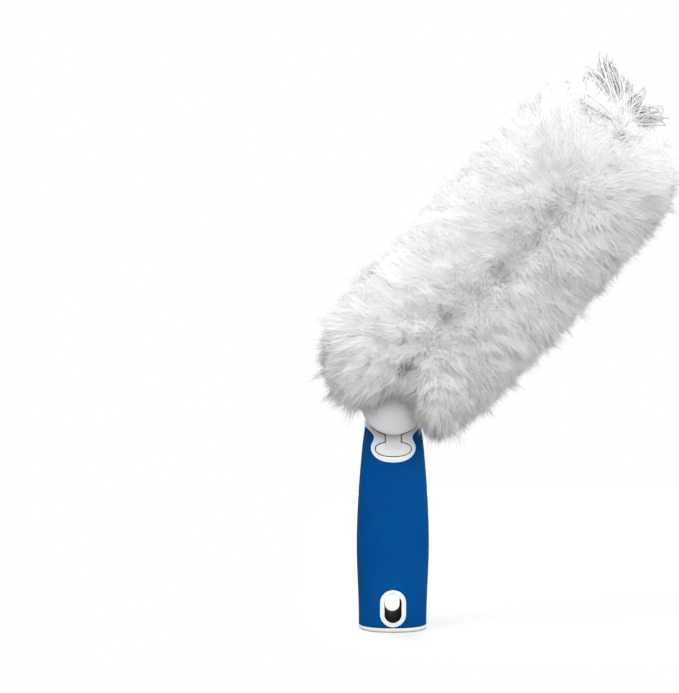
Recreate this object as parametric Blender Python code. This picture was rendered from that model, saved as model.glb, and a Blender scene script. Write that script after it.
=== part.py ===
"""Blind duster: a hand grip with a pivoting, locking paddle that carries a pull-off pile sleeve.

The frame is the handle's: +Z runs up the handle from the centre of its bottom face, -Y is the front
(button) side and +X the side that the head leans to. Lengths are metres.
The head's own frame is the handle's, turned about +Y by HEAD_TILT and moved to the pivot: its +Z runs
out along the paddle and its +X across it.
"""

import math

import bpy
import numpy as np

# General clearances
GAP = 0.0003  # between two pieces that touch or run on each other
OVERRUN = 0.002  # how far a cutter runs past what it cuts
ROUND_SIDES = 40
SMALL_SIDES = 24
SHARP_ANGLE = math.radians(35)  # edges turned by more than this stay sharp
CLOSE_FITTED = ("handle_core", "grip", "head_frame", "rear_cap")  # bodies that the EXACT solver leaves open

# Pivot
PIVOT_HEIGHT = 0.146
HEAD_TILT = math.radians(43)
LOCK_STEP = math.radians(43)
LOCK_POSITIONS = 5

# Handle outline, as half sizes of its oval section
HANDLE_HALF_WIDTH = 0.0226
HANDLE_HALF_DEPTH = 0.0160
HANDLE_HEIGHT_SHARES = (0.0, 0.08, 0.15, 0.36, 0.56, 0.70, 0.81, 0.88, 0.96)  # of PIVOT_HEIGHT
HANDLE_WIDTH_SHARES = (0.938, 0.942, 0.956, 1.0, 0.962, 0.898, 0.832, 0.775, 0.76)
HANDLE_DEPTH_SHARES = (0.975, 1.0, 0.99, 0.92, 0.865, 0.79, 0.712, 0.655, 0.59)
HANDLE_SQUARENESS = 2.3  # exponent of the oval: 2 is an ellipse
HANDLE_SIDES = 40
HANDLE_STATIONS = 14
BOTTOM_ROUNDING = 0.0016
BOTTOM_ROUNDING_TURNS = np.radians((0, 30, 60))
RIM_HEIGHT = 0.0029
GRIP_WALL = 0.0021
GRIP_TOP_DROP = 0.0160
GRIP_TOP = PIVOT_HEIGHT - GRIP_TOP_DROP

# Hub of the head, and the domed cap in front of it
HUB_RADIUS = 0.0196
HUB_THICKNESS = 0.0122
CAP_LAP = 0.0005
CAP_RADIUS = HUB_RADIUS + CAP_LAP
CAP_DOME = 0.0034
CAP_STATIONS = 6
CAP_EDGE_POWER = 3  # how late the dome falls away towards its rim
CAP_FULLNESS_POWER = 0.6
CAP_WALL = 0.0015
CAP_RING_RADIUS = 0.0090
CAP_RING_WALL = 0.0012
CAP_RING_DEPTH = 0.0022

# Ear that carries the pivot, behind the hub
EAR_STANDS = 0.0010  # how far it stands out past the hub all round
EAR_RADIUS = HUB_RADIUS + EAR_STANDS
EAR_FRONT = -0.0075
EAR_REAR = 0.0100
EAR_ROUNDING = 0.0014
HUB_SEAM = 0.0023  # the gap round the hub that shows as a dark line
HUB_CLEARANCE_RADIUS = CAP_RADIUS + HUB_SEAM
HUB_RUNNING_GAP = 0.0006
HUB_REAR = EAR_FRONT - HUB_RUNNING_GAP
HUB_FRONT = HUB_REAR - HUB_THICKNESS

# Lock button: an oval key with a neck that runs up under the hub
BUTTON_HALF_WIDTH = 0.0109
BUTTON_HALF_HEIGHT = 0.0043
BUTTON_DROP = 0.0039  # from the hub's seam down to the button's upper edge
BUTTON_HEIGHT = PIVOT_HEIGHT - HUB_CLEARANCE_RADIUS - BUTTON_DROP - BUTTON_HALF_HEIGHT
BUTTON_SQUARENESS = 2.2
BUTTON_PROUD = 0.0005
BUTTON_BACK = -0.0045
BUTTON_TRAVEL = 0.0035
NECK_HALF_WIDTH = 0.0046
NECK_STANDS = 0.0023  # how far the neck stands in front of the hub's rear face
NECK_FRONT = HUB_REAR - NECK_STANDS
NECK_LAP = 0.0014  # how far the neck's tongue reaches behind the hub

# Bare island round the button, where the grip is cut away
ISLAND_BORDER = 0.0030
ISLAND_HALF_WIDTH = BUTTON_HALF_WIDTH + ISLAND_BORDER
ISLAND_BELOW = 0.0041
ISLAND_HALF_HEIGHT = BUTTON_HALF_HEIGHT + ISLAND_BELOW
ISLAND_ACROSS_SHARES = (0.0, 0.36, 0.70, 0.92, 1.0, 0.97, 0.885, 0.87, 1.0, 1.24, 1.60)
ISLAND_DOWN_SHARES = (-1.0, -0.94, -0.74, -0.38)  # of its half height, below the button's middle
ISLAND_UP_SHARES = (0.0, 0.093, 0.176, 0.253, 0.335, 0.417, 0.535)  # of the way up to the pivot
ISLAND_PROUD = 0.0002

# Lock leaf: a spring strip whose tooth drops into the hub's notches
LEAF_HALF_WIDTH = 0.0040
LEAF_THICKNESS = 0.0008
LEAF_FOOT_DROP = 0.0139
LEAF_FOOT_HEIGHT = BUTTON_HEIGHT - LEAF_FOOT_DROP
LEAF_GRIPPED = 0.0060
LEAF_FLEX = 0.0050
TOOTH_HALF_WIDTH = 0.0020
TOOTH_HALF_HEIGHT = 0.0017
TOOTH_INSET = 0.0034
TOOTH_RADIUS = HUB_RADIUS - TOOTH_INSET  # from the pivot to the tooth's middle
TOOTH_ENTRY = 0.0022
NOTCH_CLEARANCE = 0.0004

# Hang slot
SLOT_HEIGHT = 0.0155
SLOT_HALF_WIDTH = 0.00535
SLOT_HALF_LENGTH = 0.0090
SLOT_BORDER = 0.0028
SLOT_PROUD = 0.0004
WINDOW_SETBACK = 0.0005

# Pole socket liner
SOCKET_LIP = 0.0006
SOCKET_MOUTH_RADIUS = 0.0109
SOCKET_TOP_RADIUS = 0.0094
SOCKET_WALL = 0.0015
SOCKET_STRAIGHT = 0.0340
SOCKET_DEPTH = 0.0600

# Pivot screw, bush, nut and washers
SHANK_RADIUS = 0.0029
BUSH_WALL = 0.0018
BUSH_RADIUS = SHANK_RADIUS + GAP + BUSH_WALL
SCREW_SEAT_DEPTH = 0.0054
BUSH_FRONT = HUB_FRONT + SCREW_SEAT_DEPTH
SCREW_HEAD_RADIUS = 0.0061
SCREW_HEAD_HEIGHT = 0.0024
SCREW_DRIVE_RADIUS = 0.0020
SCREW_DRIVE_DEPTH = 0.0014
HEAD_POCKET_CLEARANCE = 0.0005
NUT_SEAT_DEPTH = 0.0056
NUT_SEAT = EAR_REAR - NUT_SEAT_DEPTH
NUT_RADIUS = 0.0058  # to its corners
NUT_POCKET_CLEARANCE = 0.0014
NUT_POCKET_RADIUS = NUT_RADIUS + NUT_POCKET_CLEARANCE
NUT_HEIGHT = 0.0034
STEEL_WASHER_THICKNESS = 0.0010
STEEL_WASHER_RADIUS = 0.0066
FRICTION_WASHER_RADIUS = 0.0120
FRICTION_WASHER_THICKNESS = 0.0008
FRICTION_WASHER_STANDS = 0.00025
REAR_CAP_LAP = 0.0033
REAR_CAP_RADIUS = NUT_POCKET_RADIUS + REAR_CAP_LAP
REAR_CAP_DOME = 0.0022
REAR_CAP_DOME_SHARES = ((0.45, 0.90), (0.80, 0.55), (0.95, 0.25))  # of its radius and its rise
REAR_CAP_EDGE = 0.0008
REAR_CAP_RING_WALL = 0.0008
REAR_CAP_RING_DEPTH = 0.0018

# Paddle
PADDLE_SETBACK = 0.0048  # of its middle, behind the hub's front face
PADDLE_MIDDLE = HUB_FRONT + PADDLE_SETBACK
PADDLE_LENGTH = 0.2070
PADDLE_ROOT_HALF_WIDTH = 0.0170
PADDLE_TIP_HALF_WIDTH = 0.0130
PADDLE_ROOT_HALF_THICKNESS = 0.00275
PADDLE_TIP_HALF_THICKNESS = 0.00175
PADDLE_SQUARENESS = 5.0
PADDLE_SIDES = 24
PADDLE_END_SHARE = 0.6  # length of the rounded end, of its half width
PADDLE_END_TURNS = np.radians((0, 20, 40, 58, 74))
PADDLE_POCKETS = 7
PADDLE_POCKET_NEAR_INSET = 0.0084
PADDLE_POCKET_FAR_INSET = 0.0090
PADDLE_POCKET_START = HUB_RADIUS + PADDLE_POCKET_NEAR_INSET
PADDLE_POCKET_END = PADDLE_LENGTH - PADDLE_POCKET_FAR_INSET
PADDLE_RIB = 0.0030
PADDLE_WEB_HALF_THICKNESS = 0.0008

# Sleeve: cuff, knitted pouch and pile
SLEEVE_EASE = 0.0004
CUFF_START = 0.0460
CUFF_LENGTH = 0.0100
CUFF_END = CUFF_START + CUFF_LENGTH
CUFF_WALL = 0.0030
POUCH_WALL = 0.0011
PILE_NEAR = -0.0240
PILE_OVERHANG = 0.0240
PILE_FAR = PADDLE_LENGTH + PILE_OVERHANG
PILE_LEFT = -0.0700
PILE_RIGHT = 0.0460
PILE_HALF_THICKNESS = 0.0365
PILE_SQUARENESS = 2.3
PILE_SPINE_NEAR_INSET = 0.0670
PILE_SPINE_FAR_INSET = 0.0570
PILE_SPINE_START = PILE_NEAR + PILE_SPINE_NEAR_INSET
PILE_SPINE_END = PILE_FAR - PILE_SPINE_FAR_INSET
PILE_OUTLINE_POINTS = 48
PILE_RING_TURNS = np.radians((0, 17, 34, 51, 67, 80, 86.5, 89.2))  # from the outline to the middle
PARTING_DEPTH = 0.0035
PARTING_HALF_WIDTH = 0.0080
PILE_ALONG_SHARES = (
    0.115, 0.098, 0.092, 0.125, 0.195, 0.350, 0.560, 0.780, 0.900, 0.965, 0.998, 1.0,
    1.0, 0.962, 0.860, 0.620, 0.400, 0.240, 0.120, 0.045, 0.004, 0.022, 0.072, 0.112,
)  # 0 at PILE_NEAR and 1 at PILE_FAR
PILE_ACROSS_SHARES = (
    0.42, 0.62, 0.77, 0.89, 0.97, 1.0, 1.0, 0.98, 0.90, 0.72, 0.36, 0.0,
    -0.45, -0.86, -0.98, -0.98, -0.97, -0.99, -0.90, -0.68, -0.32, -0.06, 0.02, 0.20,
)  # -1 at PILE_LEFT and 1 at PILE_RIGHT
PILE_HUB_CLEARANCE = 0.0012
PILE_NECK_CLEARANCE = 0.0006
FOLD_MARGIN = 0.0044
FOLD_CLEARANCE = HANDLE_HALF_WIDTH + FOLD_MARGIN  # from the pivot to pile that stays stiff when folded down
HEEL_CLEARANCE = 0.0018
HEEL_WAY_START = math.radians(-20)

# Yarn tuft at the tip
YARN_ROOT_HALF_WIDTH = 0.0050
YARN_ROOT_HALF_THICKNESS = 0.0030
YARN_ROOT_ACROSS = -0.0120
YARN_STANDS = 0.0140  # how far it reaches past the pile
YARN_TIP = PILE_FAR + YARN_STANDS
YARN_TIP_LEFT = -0.0570
YARN_TIP_RIGHT = 0.0020
YARN_TIP_HALF_THICKNESS = 0.0070
YARN_SPREAD_POWER = 1.3
YARN_END_SHARE = 0.35  # how much of its width the tuft loses at its rounded end
YARN_END_POWER = 6
YARN_SIDES = 20
YARN_STATIONS = 7

# Colours
BLUE = (0.0, 0.078, 0.235)
WHITE = (0.75, 0.75, 0.77)
HUB_GREY = (0.62, 0.62, 0.63)
BLACK = (0.012, 0.012, 0.013)
STEEL = (0.56, 0.56, 0.57)
PILE_WHITE = (0.88, 0.88, 0.88)


def clear_scene():
    for item in list(bpy.data.objects):
        bpy.data.objects.remove(item, do_unlink=True)


def material(name, colour, roughness, metallic=0.0):
    made = bpy.data.materials.new(name)
    made.use_nodes = True
    shader = made.node_tree.nodes["Principled BSDF"]
    shader.inputs["Base Color"].default_value = (*colour, 1.0)
    shader.inputs["Roughness"].default_value = roughness
    shader.inputs["Metallic"].default_value = metallic
    return made


def add_mesh(name, points, faces, look=None, parent=None):
    """A smooth-shaded mesh object with its sharp edges kept, in its parent's frame."""
    mesh = bpy.data.meshes.new(name)
    mesh.from_pydata([tuple(map(float, point)) for point in points], [], faces)
    mesh.shade_smooth()
    mesh.set_sharp_from_angle(angle=SHARP_ANGLE)
    if look:
        mesh.materials.append(look)
    item = bpy.data.objects.new(name, mesh)
    bpy.context.scene.collection.objects.link(item)
    item.parent = parent
    return item


def boolean(target, other, operation):
    """Cut other away from target, or join it on; other stays as a hidden guide."""
    other.hide_render = True
    other.display_type = "WIRE"
    change = target.modifiers.new(f"{operation.lower()} {other.name}", "BOOLEAN")
    change.operation = operation
    change.solver = "MANIFOLD" if target.name in CLOSE_FITTED else "EXACT"
    change.object = other


def cut(target, *others):
    for other in others:
        boolean(target, other, "DIFFERENCE")


def join(target, *others):
    for other in others:
        boolean(target, other, "UNION")


def keep_inside(target, *others):
    for other in others:
        boolean(target, other, "INTERSECT")


def loft(name, rings, look=None, parent=None):
    """A closed body through rings of equally many points, each ring anticlockwise seen from the last."""
    rings = np.asarray(rings)
    count, sides, _ = rings.shape
    faces = [list(range(sides))[::-1]]
    for ring in range(count - 1):
        for side in range(sides):
            after = (side + 1) % sides
            low, high = ring * sides, (ring + 1) * sides
            faces.append([low + side, low + after, high + after, high + side])
    faces.append([(count - 1) * sides + side for side in range(sides)])
    return add_mesh(name, rings.reshape(-1, 3), faces, look, parent)


def oval(half_x, half_y, squareness, sides):
    """Points of the superellipse |x/a|^n + |y/b|^n = 1, anticlockwise."""
    turn = np.linspace(0, 2 * math.pi, sides, endpoint=False)
    c, s = np.cos(turn), np.sin(turn)
    power = 2 / squareness
    x = half_x * np.sign(c) * np.abs(c) ** power
    y = half_y * np.sign(s) * np.abs(s) ** power
    return np.column_stack([x, y])


def smooth_table(at, places, values):
    """A smooth curve through (places, values), by cubic pieces with central-difference slopes."""
    places, values = np.asarray(places, float), np.asarray(values, float)
    slopes = np.gradient(values, places)
    at = np.clip(np.asarray(at, float), places[0], places[-1])
    cell = np.clip(np.searchsorted(places, at) - 1, 0, len(places) - 2)
    width = places[cell + 1] - places[cell]
    t = (at - places[cell]) / width
    start = (2 * t**3 - 3 * t**2 + 1) * values[cell] + (t**3 - 2 * t**2 + t) * width * slopes[cell]
    end = (3 * t**2 - 2 * t**3) * values[cell + 1] + (t**3 - t**2) * width * slopes[cell + 1]
    return start + end


def prism_y(name, outline, front, rear, parent=None):
    """An outline in X and Z, anticlockwise seen from the front, carried from Y = front to Y = rear."""
    x, z = np.asarray(outline).T
    rings = [np.column_stack([x, np.full(len(x), y), z]) for y in (rear, front)]
    return loft(name, rings, None, parent)


def turned(name, profile, sides, place, look=None, parent=None):
    """A profile of (radius, reach) points turned about an axis, put in its place by place.

    A profile that starts and ends on the axis gives a solid, and one that stays off it gives a ring.
    """
    turn = np.linspace(0, 2 * math.pi, sides, endpoint=False)
    points, rows = [], []
    for radius, reach in profile:
        if radius == 0:
            rows.append([len(points)] * sides)
            points.append(place(0, 0, reach))
        else:
            rows.append(list(range(len(points), len(points) + sides)))
            points.extend(place(radius * math.cos(a), radius * math.sin(a), reach) for a in turn)
    pairs = list(zip(rows, rows[1:]))
    if profile[0][0] > 0:
        pairs.append((rows[-1], rows[0]))
    faces = []
    for first, second in pairs:
        for side in range(sides):
            after = (side + 1) % sides
            corners = [first[side], first[after], second[after], second[side]]
            faces.append(list(dict.fromkeys(corners)))
    return add_mesh(name, points, [face for face in faces if len(face) > 2], look, parent)


def turned_y(name, profile, sides, look=None, parent=None, height=PIVOT_HEIGHT):
    """A profile of (radius, Y) turned about the pivot axis; its outer side runs from rear to front."""
    return turned(name, profile, sides, lambda x, z, y: (x, y, height + z), look, parent)


def turned_z(name, profile, sides, look=None):
    """A profile of (radius, Z) turned about the handle's axis; its outer side runs upwards."""
    return turned(name, profile, sides, lambda x, y, z: (x, y, z), look)


def disc_y(name, radius, front, rear, sides=ROUND_SIDES, parent=None, height=PIVOT_HEIGHT):
    profile = [(0, rear), (radius, rear), (radius, front), (0, front)]
    return turned_y(name, profile, sides, None, parent, height)


def box(name, x, y, z, parent=None):
    """A box from (low, high) pairs."""
    outline = [(x[0], z[0]), (x[1], z[0]), (x[1], z[1]), (x[0], z[1])]
    return prism_y(name, outline, y[0], y[1], parent)


def stadium(half_width, half_length, middle, sides=SMALL_SIDES):
    """Outline of an upright slot with round ends, anticlockwise seen from the front."""
    reach = half_length - half_width
    turn = np.linspace(0, math.pi, sides // 2 + 1)
    across, up = half_width * np.cos(turn), half_width * np.sin(turn)
    top = np.column_stack([across, middle + reach + up])
    bottom = np.column_stack([-across, middle - reach - up])
    return np.concatenate([top, bottom])


STATION_SHARES = np.linspace(0, HANDLE_HEIGHT_SHARES[-1], HANDLE_STATIONS)


def handle_ring(height, inset):
    """The handle's oval section at a height, drawn in by inset."""
    share = height / PIVOT_HEIGHT
    across = smooth_table(STATION_SHARES, HANDLE_HEIGHT_SHARES, HANDLE_WIDTH_SHARES)
    through = smooth_table(STATION_SHARES, HANDLE_HEIGHT_SHARES, HANDLE_DEPTH_SHARES)
    width = np.interp(share, STATION_SHARES, across) * HANDLE_HALF_WIDTH - inset
    depth = np.interp(share, STATION_SHARES, through) * HANDLE_HALF_DEPTH - inset
    ring = oval(width, depth, HANDLE_SQUARENESS, HANDLE_SIDES)
    return np.column_stack([ring, np.full(len(ring), height)])


def handle_rings(low, high, inset):
    """Rings of the handle at both heights and at every station between them."""
    stations = STATION_SHARES * PIVOT_HEIGHT
    between = stations[(stations > low + GAP) & (stations < high - GAP)]
    return [handle_ring(height, inset) for height in (low, *between, high)]


def island_outline(grown=0.0):
    """Outline of the bare island round the button, anticlockwise seen from the front."""
    steps = np.arange(len(ISLAND_ACROSS_SHARES))
    fine = np.linspace(0, steps[-1], 3 * len(steps))
    across = smooth_table(fine, steps, ISLAND_ACROSS_SHARES) * ISLAND_HALF_WIDTH
    below = np.array(ISLAND_DOWN_SHARES) * ISLAND_HALF_HEIGHT
    above = np.array(ISLAND_UP_SHARES) * (PIVOT_HEIGHT - BUTTON_HEIGHT)
    up = smooth_table(fine, steps, np.concatenate([below, above])) + BUTTON_HEIGHT
    across[1:] += grown
    up[0] -= grown
    right = np.column_stack([across, up])
    left = right[:0:-1] * (-1, 1)
    return np.concatenate([right, left])


def button_outline(grown=0.0):
    ring = oval(BUTTON_HALF_WIDTH + grown, BUTTON_HALF_HEIGHT + grown, BUTTON_SQUARENESS, ROUND_SIDES)
    return ring + (0, BUTTON_HEIGHT)


FRONT_REACH = -HANDLE_HALF_DEPTH - 2 * OVERRUN  # clear of the front of the handle
REAR_REACH = HANDLE_HALF_DEPTH + 2 * OVERRUN
LEAF_FRONT = BUTTON_BACK + GAP
LEAF_REAR = LEAF_FRONT + LEAF_THICKNESS
TOOTH_HEIGHT = PIVOT_HEIGHT - TOOTH_RADIUS
TOOTH_TOP = TOOTH_HEIGHT + TOOTH_HALF_HEIGHT
POCKET_TOP = TOOTH_TOP + 2 * GAP
HUB_CLEARANCE_FRONT = HUB_FRONT - CAP_DOME - OVERRUN
SOCKET_RADIUS = SOCKET_MOUTH_RADIUS + SOCKET_WALL


def pole_socket_profile(grown):
    """Outer line of the liner from its mouth to its top, grown for the bore that holds it."""
    return [
        (SOCKET_RADIUS + grown, SOCKET_STRAIGHT),
        (SOCKET_TOP_RADIUS + SOCKET_WALL + grown, SOCKET_DEPTH + SOCKET_WALL + grown),
        (0, SOCKET_DEPTH + SOCKET_WALL + grown),
    ]


def slot_prism(name, grown):
    outline = stadium(SLOT_HALF_WIDTH + grown, SLOT_HALF_LENGTH + grown, SLOT_HEIGHT)
    return prism_y(name, outline, FRONT_REACH, REAR_REACH)


def make_handle_core(white):
    """The white moulding: drawn in under the grip, full at the rim, shoulder, island and slot border."""
    shoulder_top = HANDLE_HEIGHT_SHARES[-1] * PIVOT_HEIGHT
    rounding = [
        handle_ring(BOTTOM_ROUNDING * (1 - math.cos(turn)), BOTTOM_ROUNDING * (1 - math.sin(turn)))
        for turn in BOTTOM_ROUNDING_TURNS
    ]
    rim = handle_rings(BOTTOM_ROUNDING, RIM_HEIGHT, 0)
    waist = handle_rings(RIM_HEIGHT, GRIP_TOP + GAP, GRIP_WALL)
    shoulder = handle_rings(GRIP_TOP + GAP, shoulder_top, 0)
    core = loft("handle_core", rounding + rim + waist + shoulder, white)
    island_low = BUTTON_HEIGHT - 2 * ISLAND_HALF_HEIGHT
    island = loft("island form", handle_rings(island_low, shoulder_top, -ISLAND_PROUD))
    keep_inside(island, prism_y("island outline", island_outline(), FRONT_REACH, 0))
    join(core, island)
    border_high = SLOT_HEIGHT + 2 * SLOT_HALF_LENGTH
    border = loft("slot border form", handle_rings(RIM_HEIGHT / 2, border_high, -SLOT_PROUD))
    keep_inside(border, slot_prism("slot border outline", SLOT_BORDER))
    join(core, border)
    corner = EAR_ROUNDING * (1 - math.sqrt(0.5))
    ear_profile = [
        (0, EAR_REAR),
        (EAR_RADIUS - EAR_ROUNDING, EAR_REAR),
        (EAR_RADIUS - corner, EAR_REAR - corner),
        (EAR_RADIUS, EAR_REAR - EAR_ROUNDING),
        (EAR_RADIUS, EAR_FRONT - OVERRUN),
        (0, EAR_FRONT - OVERRUN),
    ]
    ear = turned_y("ear form", ear_profile, ROUND_SIDES)
    below = (PIVOT_HEIGHT - 2 * EAR_RADIUS, GRIP_TOP + 2 * GAP)
    ear_depth = (2 * EAR_FRONT, 2 * EAR_REAR)
    cut(ear, box("under the ear", (-2 * EAR_RADIUS, 2 * EAR_RADIUS), ear_depth, below))
    join(core, ear)
    cut(core, disc_y("hub clearance", HUB_CLEARANCE_RADIUS, HUB_CLEARANCE_FRONT, EAR_FRONT))
    bore = [(0, -OVERRUN), (SOCKET_RADIUS + GAP, -OVERRUN), *pole_socket_profile(GAP)]
    cut(core, turned_z("pole socket bore", bore, ROUND_SIDES))
    cut(core, slot_prism("hang slot", 0))
    bore_front, bore_rear = EAR_FRONT - OVERRUN, NUT_SEAT + OVERRUN
    cut(core, disc_y("pivot bore", BUSH_RADIUS + GAP, bore_front, bore_rear, SMALL_SIDES))
    cut(core, disc_y("nut pocket", NUT_POCKET_RADIUS, NUT_SEAT, EAR_REAR + OVERRUN, SMALL_SIDES))
    washer_seat = EAR_FRONT - FRICTION_WASHER_STANDS + FRICTION_WASHER_THICKNESS + GAP
    cut(core, disc_y("friction washer seat", FRICTION_WASHER_RADIUS + GAP, bore_front, washer_seat))
    button_floor = BUTTON_BACK + BUTTON_TRAVEL + 2 * GAP
    cut(core, prism_y("button opening", button_outline(GAP), FRONT_REACH, button_floor))
    channel = (-NECK_HALF_WIDTH - GAP, NECK_HALF_WIDTH + GAP)
    cut(core, box("neck channel", channel, (FRONT_REACH, button_floor), (BUTTON_HEIGHT, POCKET_TOP)))
    pocket = (-LEAF_HALF_WIDTH - GAP, LEAF_HALF_WIDTH + GAP)
    foot_top = LEAF_FOOT_HEIGHT + LEAF_GRIPPED
    flex = (LEAF_FRONT - GAP, LEAF_REAR + LEAF_FLEX)
    cut(core, box("leaf pocket", pocket, flex, (foot_top, POCKET_TOP)))
    foot = (LEAF_FRONT - GAP, LEAF_REAR + GAP)
    cut(core, box("leaf foot slot", pocket, foot, (LEAF_FOOT_HEIGHT - GAP, foot_top + OVERRUN)))


def make_grip(blue):
    """The soft shell round the core, cut away at the island, the slot border and the hub."""
    grip = loft("grip", handle_rings(RIM_HEIGHT + GAP, GRIP_TOP, 0), blue)
    cut(grip, loft("grip hollow", handle_rings(0, GRIP_TOP + OVERRUN, GRIP_WALL - GAP)))
    cut(grip, prism_y("island opening", island_outline(GAP), FRONT_REACH, 0))
    cut(grip, slot_prism("slot border opening", SLOT_BORDER + GAP))
    cut(grip, bpy.data.objects["hub clearance"])


def make_pole_socket(black):
    """The black liner that takes a pole's tapered tip, with a window behind each mouth of the hang slot."""
    profile = [
        (0, SOCKET_DEPTH),
        (SOCKET_TOP_RADIUS, SOCKET_DEPTH),
        (SOCKET_MOUTH_RADIUS, SOCKET_STRAIGHT),
        (SOCKET_MOUTH_RADIUS, SOCKET_LIP),
        (SOCKET_RADIUS, SOCKET_LIP),
    ]
    socket = turned_z("pole_socket", profile + pole_socket_profile(0), ROUND_SIDES, black)
    cut(socket, slot_prism("socket window", WINDOW_SETBACK))


def make_pivot_hardware(steel, white, grey):
    """What the head turns on: bush, screw, nut, washers, and the cap that hides the nut."""
    ring = [
        (BUSH_RADIUS, NUT_SEAT - GAP),
        (BUSH_RADIUS, BUSH_FRONT),
        (SHANK_RADIUS + GAP, BUSH_FRONT),
        (SHANK_RADIUS + GAP, NUT_SEAT - GAP),
    ]
    turned_y("pivot_bush", ring, SMALL_SIDES, grey)
    washer_rear = NUT_SEAT + GAP + STEEL_WASHER_THICKNESS
    nut_front = washer_rear + GAP
    nut_rear = nut_front + NUT_HEIGHT
    under_head = BUSH_FRONT - GAP
    screw_profile = [
        (0, nut_rear + GAP),
        (SHANK_RADIUS, nut_rear + GAP),
        (SHANK_RADIUS, under_head),
        (SCREW_HEAD_RADIUS, under_head),
        (SCREW_HEAD_RADIUS, under_head - SCREW_HEAD_HEIGHT * 2 / 3),
        (SCREW_HEAD_RADIUS * 3 / 4, under_head - SCREW_HEAD_HEIGHT),
        (0, under_head - SCREW_HEAD_HEIGHT),
    ]
    screw = turned_y("pivot_screw", screw_profile, SMALL_SIDES, steel)
    head_face = under_head - SCREW_HEAD_HEIGHT
    drive_floor = head_face + SCREW_DRIVE_DEPTH
    cut(screw, disc_y("screw drive", SCREW_DRIVE_RADIUS, head_face - OVERRUN, drive_floor, 6))
    nut = disc_y("pivot_nut", NUT_RADIUS, nut_front, nut_rear, 6)
    nut.data.materials.append(steel)
    nut_span = (nut_front - OVERRUN, nut_rear + OVERRUN)
    cut(nut, disc_y("nut bore", SHANK_RADIUS + GAP, *nut_span, SMALL_SIDES))
    steel_ring = [
        (STEEL_WASHER_RADIUS, washer_rear),
        (STEEL_WASHER_RADIUS, NUT_SEAT + GAP),
        (SHANK_RADIUS + GAP, NUT_SEAT + GAP),
        (SHANK_RADIUS + GAP, washer_rear),
    ]
    turned_y("nut_washer", steel_ring, SMALL_SIDES, steel)
    face = EAR_FRONT - FRICTION_WASHER_STANDS
    friction_ring = [
        (FRICTION_WASHER_RADIUS, face + FRICTION_WASHER_THICKNESS),
        (FRICTION_WASHER_RADIUS, face),
        (BUSH_RADIUS + GAP, face),
        (BUSH_RADIUS + GAP, face + FRICTION_WASHER_THICKNESS),
    ]
    turned_y("friction_washer", friction_ring, ROUND_SIDES, grey)
    seat = EAR_REAR + GAP
    rise = REAR_CAP_DOME - REAR_CAP_EDGE
    cap_profile = [
        (0, seat + REAR_CAP_DOME),
        *((REAR_CAP_RADIUS * out, seat + REAR_CAP_EDGE + rise * up) for out, up in REAR_CAP_DOME_SHARES),
        (REAR_CAP_RADIUS, seat + REAR_CAP_EDGE / 2),
        (REAR_CAP_RADIUS, seat),
        (0, seat),
    ]
    cap = turned_y("rear_cap", cap_profile, ROUND_SIDES, white)
    ring_radius = NUT_POCKET_RADIUS - GAP
    snap_ring = [
        (ring_radius, seat + REAR_CAP_EDGE),
        (ring_radius, seat - REAR_CAP_RING_DEPTH),
        (ring_radius - REAR_CAP_RING_WALL, seat - REAR_CAP_RING_DEPTH),
        (ring_radius - REAR_CAP_RING_WALL, seat + REAR_CAP_EDGE),
    ]
    join(cap, turned_y("rear cap ring", snap_ring, ROUND_SIDES))


def make_lock(white, steel):
    """The press button and the leaf spring behind it, whose tooth stands in the hub's lowest notch."""
    low = BUTTON_HEIGHT - 2 * BUTTON_HALF_HEIGHT
    high = BUTTON_HEIGHT + 2 * BUTTON_HALF_HEIGHT
    button = loft("lock_button", handle_rings(low, high, -BUTTON_PROUD), white)
    keep_inside(button, prism_y("button outline", button_outline(), FRONT_REACH, BUTTON_BACK))
    neck_top = PIVOT_HEIGHT - HUB_RADIUS + NECK_LAP
    neck_width = (-NECK_HALF_WIDTH, NECK_HALF_WIDTH)
    neck = box("neck form", neck_width, (NECK_FRONT, BUTTON_BACK), (BUTTON_HEIGHT, neck_top))
    join(button, neck)
    cut(button, disc_y("hub over neck", HUB_RADIUS + 2 * GAP, HUB_CLEARANCE_FRONT, HUB_REAR + GAP))
    width = (-LEAF_HALF_WIDTH, LEAF_HALF_WIDTH)
    leaf = box("lock_leaf", width, (LEAF_FRONT, LEAF_REAR), (LEAF_FOOT_HEIGHT, TOOTH_TOP))
    leaf.data.materials.append(steel)
    tooth_width = (-TOOTH_HALF_WIDTH, TOOTH_HALF_WIDTH)
    tooth_reach = (HUB_REAR - TOOTH_ENTRY, LEAF_REAR - LEAF_THICKNESS / 2)
    tooth_span = (TOOTH_HEIGHT - TOOTH_HALF_HEIGHT, TOOTH_TOP)
    join(leaf, box("tooth form", tooth_width, tooth_reach, tooth_span))


def paddle_half_width(along):
    return PADDLE_ROOT_HALF_WIDTH + (PADDLE_TIP_HALF_WIDTH - PADDLE_ROOT_HALF_WIDTH) * along / PADDLE_LENGTH


def paddle_half_thickness(along):
    taper = PADDLE_TIP_HALF_THICKNESS - PADDLE_ROOT_HALF_THICKNESS
    return PADDLE_ROOT_HALF_THICKNESS + taper * along / PADDLE_LENGTH


def paddle_ring(along, grown, narrowed=0, thinned=0):
    """The paddle's section at a distance from the pivot, grown on every side."""
    half_width = paddle_half_width(along) + grown - narrowed
    half_thickness = paddle_half_thickness(along) + grown - thinned
    ring = oval(half_width, half_thickness, PADDLE_SQUARENESS, PADDLE_SIDES) + (0, PADDLE_MIDDLE)
    return np.column_stack([ring, np.full(len(ring), along)])


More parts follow.
